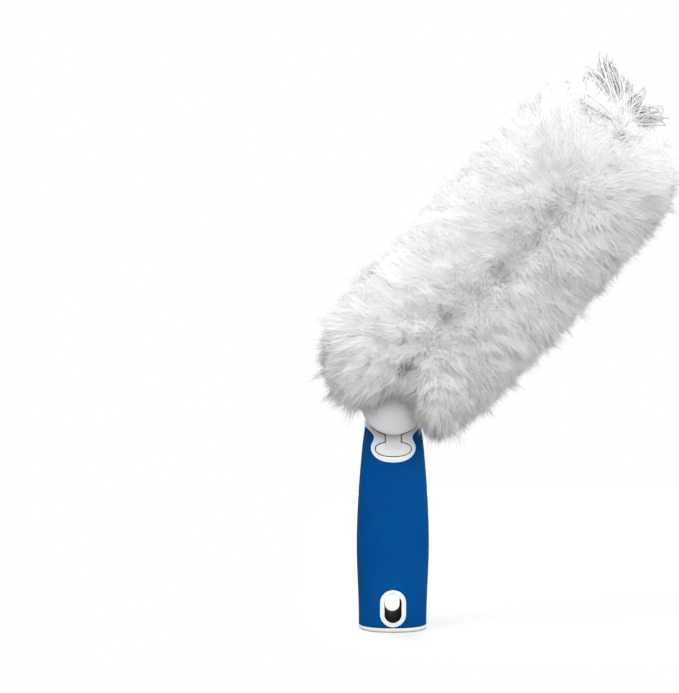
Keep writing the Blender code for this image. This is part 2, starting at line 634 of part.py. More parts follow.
def paddle_rings(grown, start, end):
    """Rings of the tapering paddle from start to a rounded end, grown on every side."""
    rounding = PADDLE_TIP_HALF_WIDTH * PADDLE_END_SHARE
    rings = [paddle_ring(start, grown)]
    for turn in PADDLE_END_TURNS:
        fall = 1 - math.cos(turn)
        along = end - rounding * (1 - math.sin(turn))
        rings.append(paddle_ring(along, grown, rounding * fall, PADDLE_TIP_HALF_THICKNESS * fall / 2))
    return rings


def make_head_frame(head, white):
    """Hub and paddle in one moulding, with ribbed panels along the paddle and lock notches in the hub."""
    edge = HUB_RADIUS - 2 * GAP
    hub_profile = [
        (0, HUB_REAR),
        (edge, HUB_REAR),
        (HUB_RADIUS, HUB_REAR - 2 * GAP),
        (HUB_RADIUS, HUB_FRONT + 2 * GAP),
        (edge, HUB_FRONT),
        (0, HUB_FRONT),
    ]
    frame = turned_y("head_frame", hub_profile, ROUND_SIDES, white, head, 0)
    join(frame, loft("paddle form", paddle_rings(0, HUB_RADIUS / 2, PADDLE_LENGTH), None, head))
    pitch = (PADDLE_POCKET_END - PADDLE_POCKET_START) / PADDLE_POCKETS
    for index in range(PADDLE_POCKETS):
        low = PADDLE_POCKET_START + pitch * index + PADDLE_RIB / 2
        high = low + pitch - PADDLE_RIB
        reach = paddle_half_width(high) - PADDLE_RIB
        for side in (-1, 1):
            near = PADDLE_MIDDLE + side * PADDLE_WEB_HALF_THICKNESS
            far = PADDLE_MIDDLE + side * 2 * PADDLE_ROOT_HALF_THICKNESS
            depth = (min(near, far), max(near, far))
            cut(frame, box(f"paddle panel {index} {side}", (-reach, reach), depth, (low, high), head))
    bores = (
        ("cap ring pocket", CAP_RING_RADIUS + GAP, HUB_FRONT - OVERRUN, HUB_FRONT + CAP_RING_DEPTH + GAP),
        ("screw head pocket", SCREW_HEAD_RADIUS + HEAD_POCKET_CLEARANCE, HUB_FRONT - OVERRUN, BUSH_FRONT),
        ("hub bore", BUSH_RADIUS + GAP, HUB_FRONT, HUB_REAR + OVERRUN),
    )
    for name, radius, front, rear in bores:
        cut(frame, disc_y(name, radius, front, rear, ROUND_SIDES, head, 0))
    width = (-TOOTH_HALF_WIDTH - NOTCH_CLEARANCE, TOOTH_HALF_WIDTH + NOTCH_CLEARANCE)
    depth = (HUB_REAR - TOOTH_ENTRY - NOTCH_CLEARANCE, HUB_REAR + OVERRUN)
    half_height = TOOTH_HALF_HEIGHT + NOTCH_CLEARANCE
    span = (-TOOTH_RADIUS - half_height, -TOOTH_RADIUS + half_height)
    for position in range(LOCK_POSITIONS):
        notch = box(f"lock notch {position}", width, depth, span, head)
        notch.rotation_euler = (0, position * LOCK_STEP - HEAD_TILT, 0)
        cut(frame, notch)


def make_hub_cap(head, grey):
    """A thin domed cover with a snap ring that seats in the hub's front pocket."""
    seat = HUB_FRONT - GAP
    shares = np.sin(np.linspace(0, math.pi / 2, CAP_STATIONS))
    rises = (1 - shares**CAP_EDGE_POWER) ** CAP_FULLNESS_POWER

    def dome(radius, rise):
        return [(radius * out, seat - rise * up) for out, up in zip(shares, rises)]

    inside = dome(CAP_RADIUS - CAP_WALL, CAP_DOME - CAP_WALL)
    outside = dome(CAP_RADIUS, CAP_DOME)
    cap = turned_y("hub_cap", inside + outside[::-1], ROUND_SIDES, grey, head, 0)
    ring_front = seat - CAP_DOME + CAP_WALL
    ring = [
        (CAP_RING_RADIUS, seat + CAP_RING_DEPTH),
        (CAP_RING_RADIUS, ring_front),
        (CAP_RING_RADIUS - CAP_RING_WALL, ring_front),
        (CAP_RING_RADIUS - CAP_RING_WALL, seat + CAP_RING_DEPTH),
    ]
    join(cap, turned_y("cap ring", ring, ROUND_SIDES, None, head, 0))


POUCH_OUTSIDE = SLEEVE_EASE + POUCH_WALL  # how far each stands off the paddle
CUFF_OUTSIDE = SLEEVE_EASE + CUFF_WALL


def make_pouch_and_cuff(head, knit):
    """The knitted pouch that fits the paddle, and the elastic cuff at its mouth."""
    pouch_rings = paddle_rings(POUCH_OUTSIDE, CUFF_END + GAP, PADDLE_LENGTH + POUCH_OUTSIDE)
    pouch = loft("sleeve_backing", pouch_rings, knit, head)
    pouch_inside = paddle_rings(SLEEVE_EASE, CUFF_END - OVERRUN, PADDLE_LENGTH + SLEEVE_EASE)
    cut(pouch, loft("pouch hollow", pouch_inside, None, head))
    cuff_rings = [paddle_ring(along, CUFF_OUTSIDE) for along in (CUFF_START, CUFF_END)]
    cuff = loft("sleeve_cuff", cuff_rings, knit, head)
    ends = (CUFF_START - OVERRUN, CUFF_END + OVERRUN)
    cut(cuff, loft("cuff hollow", [paddle_ring(along, SLEEVE_EASE) for along in ends], None, head))


def pile_outline():
    """The pile's outline in the head's frame, as (across, along), anticlockwise from the front."""
    along = PILE_NEAR + np.array(PILE_ALONG_SHARES) * (PILE_FAR - PILE_NEAR)
    half = (PILE_RIGHT - PILE_LEFT) / 2
    across = (PILE_RIGHT + PILE_LEFT) / 2 + np.array(PILE_ACROSS_SHARES) * half
    count = len(along)
    steps = np.arange(-count, 2 * count)
    at = np.linspace(0, count, PILE_OUTLINE_POINTS, endpoint=False)
    return np.column_stack([smooth_table(at, steps, np.tile(values, 3)) for values in (across, along)])


def pile_half(name, plane, towards, look, head):
    """Half of the pile: a cushion that rises from the plane, its rings drawn in towards the spine line.

    Along the spine it sinks by a bell curve, where the pile parts.
    """
    outline = pile_outline()
    middle = np.full(len(outline), (PILE_RIGHT + PILE_LEFT) / 2)
    spine = np.column_stack([middle, np.clip(outline[:, 1], PILE_SPINE_START, PILE_SPINE_END)])
    rings = []
    for turn in PILE_RING_TURNS:
        out = math.cos(turn) ** (2 / PILE_SQUARENESS) * (outline - spine)
        aside = np.hypot(out[:, 0], out[:, 1]) / PARTING_HALF_WIDTH
        rise = PILE_HALF_THICKNESS * math.sin(turn) ** (2 / PILE_SQUARENESS)
        rise = rise - PARTING_DEPTH * np.exp(-(aside**2))
        ring = np.column_stack([spine[:, 0] + out[:, 0], plane + towards * rise, spine[:, 1] + out[:, 1]])
        rings.append(ring if towards < 0 else ring[::-1])
    return loft(name, rings, look, head)


def yarn_rings(grown):
    """Rings of the tuft: narrow at its root on the pouch, fanned out flat at its end."""
    root = PADDLE_LENGTH + POUCH_OUTSIDE + GAP
    rings = []
    for share in np.linspace(0, 1, YARN_STATIONS):
        spread = share**YARN_SPREAD_POWER
        end_rounding = 1 - YARN_END_SHARE * share**YARN_END_POWER
        low = YARN_ROOT_ACROSS - YARN_ROOT_HALF_WIDTH
        high = YARN_ROOT_ACROSS + YARN_ROOT_HALF_WIDTH
        left = low + (YARN_TIP_LEFT - low) * spread
        right = high + (YARN_TIP_RIGHT - high) * spread
        half = (right - left) / 2 * end_rounding + grown
        thickening = (YARN_TIP_HALF_THICKNESS - YARN_ROOT_HALF_THICKNESS) * share
        thin = (YARN_ROOT_HALF_THICKNESS + thickening) * end_rounding + grown
        ring = oval(half, thin, 2, YARN_SIDES) + ((left + right) / 2, PADDLE_MIDDLE)
        along = root + (YARN_TIP - root) * share + (2 * share - 1) * grown
        rings.append(np.column_stack([ring, np.full(len(ring), along)]))
    return rings


def make_pile(head, pile_look, yarn_look):
    """Front pile, stiff rear pile, the rear heel that the handle squashes when folded, and the tuft."""
    front_plane, rear_plane = PADDLE_MIDDLE - GAP / 2, PADDLE_MIDDLE + GAP / 2
    front = pile_half("pile_front", front_plane, -1, pile_look, head)
    rear = pile_half("pile_rear", rear_plane, 1, pile_look, head)
    heel = pile_half("pile_heel", rear_plane, 1, pile_look, head)
    far = 2 * PILE_FAR
    folded = HEAD_TILT - (LOCK_POSITIONS - 1) * LOCK_STEP
    depth = (PADDLE_MIDDLE - OVERRUN, PILE_HALF_THICKNESS)
    beyond = box("beyond the fold", (-far, far), depth, (FOLD_CLEARANCE - GAP, far), head)
    within = box("within the fold", (-far, far), depth, (-far, FOLD_CLEARANCE), head)
    for half_space in (beyond, within):
        half_space.rotation_euler = (0, -folded - math.pi / 2, 0)
    cut(heel, beyond)
    cut(rear, within)

    reach = CAP_RADIUS + PILE_HUB_CLEARANCE
    turn = np.linspace(0, math.pi, SMALL_SIDES)
    hub_way = np.column_stack([reach * np.cos(turn), reach * np.sin(turn)])
    hub_way = np.concatenate([hub_way, [(-reach, 3 * PILE_NEAR), (reach, 3 * PILE_NEAR)]])
    hub_face = HUB_FRONT - GAP - CAP_DOME - 2 * GAP
    cut(front, prism_y("hub way", hub_way, hub_face, 0, head))
    neck = PADDLE_ROOT_HALF_WIDTH + PILE_NECK_CLEARANCE
    thick = PADDLE_ROOT_HALF_THICKNESS + PILE_NECK_CLEARANCE
    neck_depth = (PADDLE_MIDDLE - thick, PADDLE_MIDDLE + thick)
    beside_cuff, beside_pouch = CUFF_OUTSIDE + GAP, POUCH_OUTSIDE + GAP
    cuff_ends = (CUFF_START - GAP, CUFF_END + GAP)
    cuff_way = [paddle_ring(along, beside_cuff) for along in cuff_ends]
    pouch_way = paddle_rings(beside_pouch, CUFF_END, PADDLE_LENGTH + beside_pouch)
    hollow = [
        box("neck way", (-neck, neck), neck_depth, (3 * PILE_NEAR, CUFF_END), head),
        loft("cuff way", cuff_way, None, head),
        loft("pouch way", pouch_way, None, head),
        loft("yarn way", yarn_rings(GAP), None, head),
    ]
    for half in (front, rear, heel):
        cut(half, *hollow)

    beside = EAR_RADIUS + HEEL_CLEARANCE
    turn = np.linspace(HEEL_WAY_START, math.pi, SMALL_SIDES)
    ear_way = np.column_stack([beside * np.cos(turn), PIVOT_HEIGHT + beside * np.sin(turn)])
    low = PIVOT_HEIGHT + 3 * PILE_NEAR
    level = ear_way[0, 1]
    ear_way = np.concatenate([ear_way, [(-beside, low), (2 * beside, low), (2 * beside, level)]])
    cut(heel, prism_y("ear way", ear_way, HUB_CLEARANCE_FRONT, 2 * PILE_HALF_THICKNESS))
    loft("tip_yarn", yarn_rings(0), yarn_look, head)


def main():
    clear_scene()
    blue = material("soft blue grip", BLUE, 0.55)
    white = material("white moulding", WHITE, 0.35)
    grey = material("grey hub cover", HUB_GREY, 0.40)
    black = material("black liner", BLACK, 0.45)
    steel = material("steel", STEEL, 0.30, 1.0)
    pile_look = material("white pile", PILE_WHITE, 0.95)
    yarn_look = material("white yarn", PILE_WHITE, 0.90)
    knit = material("knitted backing", WHITE, 0.90)

    make_handle_core(white)
    make_grip(blue)
    make_pole_socket(black)
    make_pivot_hardware(steel, white, grey)
    make_lock(white, steel)

    head = bpy.data.objects.new("head pivot", None)
    bpy.context.scene.collection.objects.link(head)
    head.location = (0, 0, PIVOT_HEIGHT)
    head.rotation_euler = (0, HEAD_TILT, 0)
    make_head_frame(head, white)
    make_hub_cap(head, grey)
    make_pouch_and_cuff(head, knit)
    make_pile(head, pile_look, yarn_look)


main()
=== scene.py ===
"""Blind duster: the finishes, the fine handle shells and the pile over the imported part.

The frame is the handle's: +Z runs up the handle, -Y is the front with the lock button, +X the side that
the head leans to. Lengths are metres. The head's own directions are: along, out from the pivot along the
paddle; across, to the right of it; and depth, which is Y.
"""

import math

import bpy
import numpy as np
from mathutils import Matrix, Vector


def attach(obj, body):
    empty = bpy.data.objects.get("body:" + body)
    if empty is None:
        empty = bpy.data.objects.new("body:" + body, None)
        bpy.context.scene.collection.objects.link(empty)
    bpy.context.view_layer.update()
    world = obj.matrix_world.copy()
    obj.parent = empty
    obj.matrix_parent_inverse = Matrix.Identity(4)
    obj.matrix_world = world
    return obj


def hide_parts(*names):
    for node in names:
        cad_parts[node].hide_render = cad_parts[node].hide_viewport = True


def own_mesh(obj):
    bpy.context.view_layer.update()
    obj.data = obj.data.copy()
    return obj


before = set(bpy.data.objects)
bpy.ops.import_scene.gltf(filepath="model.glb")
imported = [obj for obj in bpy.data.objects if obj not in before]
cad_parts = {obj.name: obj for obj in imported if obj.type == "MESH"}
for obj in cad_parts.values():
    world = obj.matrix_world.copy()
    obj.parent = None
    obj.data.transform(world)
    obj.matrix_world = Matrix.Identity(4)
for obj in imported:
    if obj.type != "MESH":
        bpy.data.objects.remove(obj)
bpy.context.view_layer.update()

# Places shared with the solids
PIVOT = 0.146
HEAD_TILT = math.radians(43)
FOLD = math.radians(172)
ALONG = np.array([math.sin(HEAD_TILT), 0, math.cos(HEAD_TILT)])
ACROSS = np.array([math.cos(HEAD_TILT), 0, -math.sin(HEAD_TILT)])
FRONT = np.array([0, -1, 0])
GAP = 0.0003

HANDLE_HALF_WIDTH = 0.0226
HANDLE_HALF_DEPTH = 0.0160
HANDLE_SQUARENESS = 2.3
HANDLE_HEIGHTS = (0.0, 0.08, 0.15, 0.36, 0.56, 0.70, 0.81, 0.88, 0.96)  # shares of PIVOT
HANDLE_WIDTHS = (0.938, 0.942, 0.956, 1.0, 0.962, 0.898, 0.832, 0.775, 0.76)
HANDLE_DEPTHS = (0.975, 1.0, 0.99, 0.92, 0.865, 0.79, 0.712, 0.655, 0.59)
RIM_HEIGHT = 0.0029
RIM_ROUNDING = 0.0016
GRIP_WALL = 0.0021
GRIP_TOP = 0.1300
SHOULDER_TOP = 0.96 * PIVOT
HUB_RADIUS = 0.0196
HUB_REAR = -0.0081
HUB_FRONT = -0.0203
CAP_RADIUS = 0.0201
CAP_DOME = 0.0034
CAP_EDGE = 0.0006
HUB_WAY_RADIUS = 0.0224
SEAM_RADIUS = 0.0210  # the shoulder's edge round the cover, nearer at its sides than below
SEAM_DROP = 0.0014
EAR_RADIUS = 0.0206
EAR_FRONT = -0.0075
EAR_REAR = 0.0100
EAR_EDGE = 0.0014
REAR_CAP_RADIUS = 0.0105
REAR_CAP_DOME = 0.0016
BUTTON_HEIGHT = 0.1154
BUTTON_HALF_WIDTH = 0.0109
BUTTON_HALF_HEIGHT = 0.0043
BUTTON_SQUARENESS = 2.2
BUTTON_BACK = -0.0045
BUTTON_ROOM = 0.0006
BUTTON_FORM = (0.106, 0.125)  # heights between which the key is cut from the handle's own form
NECK_HALF_WIDTH = 0.0046
NECK_DEPTHS = (-0.0121, -0.0047)
CHANNEL_TOP = 0.1321
LEAF_WAY = 0.0043  # half the width of the leaf's pocket and slot
SLOT_HEIGHT = 0.0155
SLOT_HALF_WIDTH = 0.00535
SLOT_HALF_LENGTH = 0.0090
SLOT_BORDER = 0.0028
SLOT_REAR_SHARE = 0.84
ISLAND_HALF_WIDTH = 0.0139
ISLAND_ACROSS = (0.0, 0.36, 0.70, 0.92, 1.0, 0.97, 0.885, 0.87, 1.0, 1.24, 1.60)  # shares of its half width
ISLAND_UP = (-0.0084, -0.0079, -0.0062, -0.0032, 0, 0.00285, 0.00539, 0.00774, 0.01025, 0.01276, 0.01637)
RAISED = 0.0004  # how far the button and the slot's border stand out of the handle
SKIN = 0.0001  # clears two faces that would lie in one
BEAD_RADIUS = 0.00045
BEAD_INSET = 0.0006
CUT_FRONT, CUT_REAR = -0.02, 0.02  # ends of cutters, past the handle's faces
HUB_CUT_FRONT = -0.026
BUTTON_WAY = (CUT_FRONT, -0.0004)
SOCKET_RADII = (0, 0.0127, 0.0127, 0.0112, 0)
SOCKET_HEIGHTS = (-0.002, -0.002, 0.034, 0.0618, 0.0618)
ROUND_BORES = (  # name, radius, front, rear, sides
    ("pivot bore", 0.0053, -0.0095, 0.0064, 64),
    ("nut pocket", 0.0072, 0.0044, 0.012, 64),
    ("washer seat", 0.0123, -0.0095, -0.00665, 96),
)
GRIP_EDGE, MOULDING_EDGE, KEY_EDGE, COVER_EDGE = 0.00045, 0.00035, 0.0006, 0.0002  # widths of soft edges

PADDLE_MIDDLE = -0.0155
PADDLE_LENGTH = 0.2070
PADDLE_HALF_WIDTHS = (0.0170, 0.0130)  # at the pivot and at the far end
PADDLE_HALF_THICKNESSES = (0.00275, 0.00175)
PILE_NEAR, PILE_FAR = -0.0240, 0.2310
PILE_LEFT, PILE_RIGHT = -0.0700, 0.0460
PILE_MIDDLE = (PILE_RIGHT + PILE_LEFT) / 2
PILE_HALF_WIDTH = (PILE_RIGHT - PILE_LEFT) / 2
PILE_HALF_THICKNESS = 0.0365
PILE_ALONG_SHARES = (
    0.115, 0.098, 0.092, 0.125, 0.195, 0.350, 0.560, 0.780, 0.900, 0.965, 0.998, 1.0,
    1.0, 0.962, 0.860, 0.620, 0.400, 0.240, 0.120, 0.045, 0.004, 0.022, 0.072, 0.112,
)
PILE_ACROSS_SHARES = (
    0.42, 0.62, 0.77, 0.89, 0.97, 1.0, 1.0, 0.98, 0.90, 0.72, 0.36, 0.0,
    -0.45, -0.86, -0.98, -0.98, -0.97, -0.99, -0.90, -0.68, -0.32, -0.06, 0.02, 0.20,
)
PILE_SPINE = (0.0430, 0.1740)
FOLD_CLEARANCE = 0.0270
CUFF_START, CUFF_END = 0.0460, 0.0560
CUFF_WALL = 0.0022
SLEEVE_EASE = 0.0004
POUCH_WALL = 0.0011
CUFF_ROOM = 0.0038
PADDLE_ROOM = 0.0215

# The pile's strands
LOCKS = 24000
PER_LOCK = 20
PIECE_TRIANGLES = 190000
PILE_BODY = 0.905  # the cushion under the strands, as a share of the pile
PILE_CORE = 0.85
STRAND_REACH = 0.0080
STRAND_RISE = 0.0030
STRAND_SUNK = 0.0040
STRAND_WIDTH = 0.00024
LOCK_ROOT = 0.0020
LOCK_TIP = 0.0008
LOCK_MIST = 0.0015
PROUD_SHARE, PROUD_RISE = 0.22, 2.0
STRAY_SHARE, STRAY_REACH = 0.3, 3.0
COMB_AWAY, COMB_SWIRL, COMB_FALL = 1.35, 0.45, -0.15
COMB_SPREAD = 0.20
REACH_RANGE = (0.5, 1.2)  # drawn for each lock
RISE_RANGE = (0.35, 1.4)
OWN_RANGE = (0.68, 1.12)  # drawn for each strand
TUFT_SWELL, TUFT_SPACING = 0.45, 0.0090
TUFTED_REACH, TUFTED_HEIGHT = 0.045, 0.02  # round a place above the pivot
TUFTED_RIM = 0.55  # and about the rim, as a lift
WISPS = ((0.845, 0.035, 1.0), (0.105, 0.030, 0.8))  # turn, width, height
PILE_MOST = 0.0435  # the furthest that a strand stands from the paddle's middle
SEAM_LIFT = 0.22  # up to where the strands round the rim fold with the heel
HUB_REACH = 0.045  # how far from the pivot the front half keeps off the handle's ear
FOLDED_REACH = 0.130  # how far from the pivot the folded head lies against the handle
HALF_BACK = PADDLE_MIDDLE - 5 * GAP  # the front half's back, where the handle passes behind it
LINING_DEPTH = -0.0180
LINING_BACK = 0.0050
LINING_LOCKS = 2600
LINING_EDGE, CUT_FACE_EDGE = 0.76, 0.80  # how far out the two linings reach, as shares of the pile
LINING_RISE, CUT_FACE_RISE = 0.0012, 0.0030
LINING_SPREAD = 0.0026
LINING_PAST_HEEL, LINING_PAST_EAR = 0.004, 0.010
CORE_CUT = LINING_DEPTH - 0.0005
LAST_LIFT = math.radians(89.98)
PARTING_DEPTH = 0.0016
PARTING_HALF_WIDTH = 0.0050
PARTING_ENDS = (0.0450, 0.1650)
PITS = (  # along, across, share of the depth
    (0.1030, -0.0084, 1.0),
    (0.0595, -0.0123, 0.8),
    (0.1510, -0.0092, 0.5),
    (0.0250, -0.0120, 1.1),
)
PIT_DEPTH = 0.0060
PIT_RADIUS = 0.0046
PIT_SHORTENS, LEAST_LENGTH = 0.75, 0.15
HUB_WAY = CAP_RADIUS + 0.0012
FRINGE_BACK = HUB_FRONT - GAP - CAP_DOME - 2 * GAP
EAR_WAY = EAR_RADIUS + 0.0018
EAR_WAY_DROP = 0.0075  # how far below the pivot the ear's way opens to the right

# The yarn at the far end
KNOT_ACROSS, KNOT_ALONG = -0.0165, 0.2150
KNOT_SPREADS = (0.0028, 0.0022)  # across and along
YARN_FANS = ((-104, -30, 95), (-30, 48, 55))  # first and last angle, loops
YARN_ANGLES = (-94, -68, -53, -38, -8, 33, 48)
YARN_LENGTHS = (0.040, 0.040, 0.041, 0.034, 0.024, 0.028, 0.030)
YARN_LENGTH_RANGE = (0.62, 1.06)
YARN_IN_FRONT = 0.62  # the share of loops that lie on the front face
LOOP_WIDTHS = (0.0015, 0.0075)
LOOP_SWAY = 0.0019
LOOP_POWER, LOOP_TWIST = 1.6, 1.4
YARN_TINTS = (0.86, 1.08)
YARN_RADIUS = 0.00052
YARN_FLOAT = 0.0200
YARN_PROUD = 0.0030

# The stage
FLOOR_MIDDLE = (0.26, 0.20)
FLOOR_REACH = (0.32, 0.30)
FLOOR_SQUARENESS = 6
SOFT_LIGHT = 0.44  # the white surroundings' strength, as light and as the floor's own glow
LAMPS = (  # name, place, size, power
    ("key", (-0.95, -0.60, 1.55), 1.1, 23.0),
    ("front", (0.35, -1.75, 1.2), 1.5, 38.0),
    ("back", (0.1, 1.2, 1.4), 1.4, 27.0),
    ("right", (1.7, -0.3, 1.1), 1.4, 20.0),
)
LAMP_AIM = (0, 0, 0.17)
CAMERA_AIM = (-0.0333, 0, 0.178)
CAMERA_SLOPE = math.radians(7.7)
CAMERA_DISTANCE = 2.0
SEEN_WIDTH = 0.4297  # what the picture's width spans at the handle
SENSOR = 36


# Small helpers

def to_world(across, along, depth):
    """Head coordinates to the part's frame: pivot + across * ACROSS + along * ALONG, with depth as Y."""
    across, along, depth = np.broadcast_arrays(across, along, depth)
    flat = across[..., None] * ACROSS + along[..., None] * ALONG
    flat[..., 1] = depth
    flat[..., 2] += PIVOT
    return flat


def to_head(points):
    """The part's frame to head coordinates: across and along."""
    local = points - (0, 0, PIVOT)
    return local @ ACROSS, local @ ALONG


def unit(vectors):
    """Each vector divided by its own length."""
    return vectors / np.maximum(np.linalg.norm(vectors, axis=-1, keepdims=True), 1e-12)


def in_surface(vectors, normals):
    """The part of each vector that lies in the surface: v - (v . n) n."""
    return vectors - np.sum(vectors * normals, axis=-1, keepdims=True) * normals


def bell(offset):
    """The bell curve exp(-x^2)."""
    return np.exp(-(offset**2))


def circle(sides):
    """Cosines and sines of one full turn in even steps."""
    turn = np.linspace(0, 2 * math.pi, sides, endpoint=False)
    return np.cos(turn), np.sin(turn)


def smooth_table(at, places, values):
    """Cubic pieces through (places, values), with central-difference slopes."""
    places, values = np.asarray(places, float), np.asarray(values, float)
    slopes = np.gradient(values, places)
    at = np.clip(np.asarray(at, float), places[0], places[-1])
    cell = np.clip(np.searchsorted(places, at) - 1, 0, len(places) - 2)
    width = places[cell + 1] - places[cell]
    t = (at - places[cell]) / width
    start = (2 * t**3 - 3 * t**2 + 1) * values[cell] + (t**3 - 2 * t**2 + t) * width * slopes[cell]
    end = (3 * t**2 - 2 * t**3) * values[cell + 1] + (t**3 - t**2) * width * slopes[cell + 1]
    return start + end


def waves(points, length, seed, count=9):
    """Smooth noise from -1 to 1: the mean of sine waves of about one length in random directions."""
    rng = np.random.default_rng(seed)
    directions = unit(rng.normal(size=(count, 3)))
    directions = directions * (2 * math.pi / length) * rng.uniform(0.6, 1.5, (count, 1))
    phases = rng.uniform(0, 2 * math.pi, count)
    return np.clip(np.sin(points @ directions.T + phases).mean(axis=-1) * 2, -1, 1)


def add_object(name, data):
    """A new object in the scene."""
    item = bpy.data.objects.new(name, data)
    bpy.context.scene.collection.objects.link(item)
    return item


def mesh_object(name, points, faces, material):
    """A smooth mesh from an array of points and a list of face arrays, each of equal corner counts."""
    mesh = bpy.data.meshes.new(name)
    points = np.ascontiguousarray(points, np.float32).reshape(-1, 3)
    loops = np.concatenate([part.reshape(-1) for part in faces]).astype(np.int32)
    sizes = np.concatenate([np.full(len(part), part.shape[1]) for part in faces]).astype(np.int32)
    starts = np.concatenate([[0], np.cumsum(sizes)[:-1]]).astype(np.int32)
    mesh.vertices.add(len(points))
    mesh.vertices.foreach_set("co", points.ravel())
    mesh.loops.add(len(loops))
    mesh.loops.foreach_set("vertex_index", loops)
    mesh.polygons.add(len(sizes))
    mesh.polygons.foreach_set("loop_start", starts)
    mesh.polygons.foreach_set("use_smooth", np.ones(len(sizes), bool))
    mesh.update(calc_edges=True)
    mesh.materials.append(material)
    return add_object(name, mesh)


def set_values(item, name, values):
    """A number for every point of a mesh, for its material to read."""
    values = np.ravel(values).astype(np.float32)
    item.data.attributes.new(name, "FLOAT", "POINT").data.foreach_set("value", values)


def grid_faces(rows, columns):
    """Quads of a grid of rows by columns points, closed along the columns."""
    across = np.arange(columns)
    low = np.arange(rows - 1)[:, None] * columns
    after = (across + 1) % columns
    corners = [low + across, low + after, low + columns + after, low + columns + across]
    return np.stack(corners, axis=-1).reshape(-1, 4)


def tube_faces(rows, columns):
    """The sides of a tube and its two filled ends."""
    ends = np.stack([np.arange(columns)[::-1], (rows - 1) * columns + np.arange(columns)])
    return [grid_faces(rows, columns), ends]


def ring_faces(rows, columns):
    """Quads of a grid that is closed both ways."""
    return grid_faces(rows + 1, columns) % (rows * columns)


def tube_shell(name, rings, material):
    """A closed body: a profile carried through rings of equal point counts, with both ends filled."""
    rings = np.asarray(rings)
    return mesh_object(name, rings, tube_faces(*rings.shape[:2]), material)


def turned_shell(name, radii, depths, material, sides=128, upright=False):
    """A profile of radius and reach, from axis to axis, turned about the pivot's axis or the handle's."""
    c, s = circle(sides)
    radii, depths = np.asarray(radii, float)[:, None], np.asarray(depths, float)[:, None]
    x, z, reach = radii * c, radii * s, np.broadcast_to(depths, (len(depths), sides))
    rings = np.stack([x, -z, reach] if upright else [x, reach, z + PIVOT], axis=-1)
    item = mesh_object(name, rings, [grid_faces(len(rings), sides)], material)
    welder = item.modifiers.new("poles made one point", "WELD")
    welder.merge_threshold = 1e-6
    bake(item)
    return item


def bake(item):
    """Puts the result of a piece's modifiers into its mesh."""
    graph = bpy.context.evaluated_depsgraph_get()
    made = bpy.data.meshes.new_from_object(item.evaluated_get(graph))
    item.modifiers.clear()
    old = item.data
    item.data = made
    bpy.data.meshes.remove(old)


def carve(item, cutters, operation="DIFFERENCE"):
    """Cuts closed bodies from a piece, or joins or intersects them, and drops the cutters.

    A cut face takes the cutter's material where it has one, such as the painted shade on the walls of gaps,
    or else the piece's own.
    """
    for cutter in cutters:
        if cutter.data.materials[0] is None:
            cutter.data.materials[0] = item.data.materials[0]
        change = item.modifiers.new("carve", "BOOLEAN")
        change.operation = operation
        change.solver = "MANIFOLD"
        change.material_mode = "TRANSFER"
        change.object = cutter
    bake(item)
    for cutter in cutters:
        old = cutter.data
        bpy.data.objects.remove(cutter)
        bpy.data.meshes.remove(old)


def soften(item, width, angle=40, segments=2):
    """Rounds every edge sharper than angle by a small radius and shades the rest smooth."""
    bevel = item.modifiers.new("soft edges", "BEVEL")
    bevel.width = width
    bevel.segments = segments
    bevel.limit_method = "ANGLE"
    bevel.angle_limit = math.radians(angle)
    bevel.use_clamp_overlap = True
    bevel.harden_normals = False
    bake(item)
    item.data.shade_smooth()
    item.data.set_sharp_from_angle(angle=math.radians(angle))


# Materials

def add_group(name, inputs, outputs):
    """An empty shader group with its sockets; returns the group and its two end nodes."""
    group = bpy.data.node_groups.new(name, "ShaderNodeTree")
    for label, kind, value in inputs:
        socket = group.interface.new_socket(name=label, in_out="INPUT", socket_type=kind)
        socket.default_value = value
    for label, kind in outputs:
        group.interface.new_socket(name=label, in_out="OUTPUT", socket_type=kind)
    return group, group.nodes.new("NodeGroupInput"), group.nodes.new("NodeGroupOutput")


def set_inputs(tree, node, **links):
    """A node's inputs set from values or other nodes' sockets: by name, or as i0, i1 and on by number."""
    for key, value in links.items():
        socket = node.inputs[int(key[1:])] if key[1:].isdigit() else node.inputs[key.replace("_", " ")]
        if isinstance(value, bpy.types.NodeSocket):
            tree.links.new(value, socket)
        else:
            socket.default_value = value


def add_node(tree, kind, settings=None, **links):
    """A shader node with its settings and its inputs."""
    node = tree.nodes.new("ShaderNode" + kind)
    for key, value in (settings or {}).items():
        setattr(node, key, value)
    set_inputs(tree, node, **links)
    return node


def object_place(tree):
    """Each point's place on its own object."""
    return add_node(tree, "TexCoord").outputs["Object"]


def add_math(tree, operation, first, second):
    """The result of an operation on two numbers."""
    return add_node(tree, "Math", {"operation": operation}, i0=first, i1=second).outputs[0]


def add_mix(tree, share, first, second):
    """A colour between two others."""
    return add_node(tree, "Mix", {"data_type": "RGBA"}, i0=share, i6=first, i7=second).outputs[2]


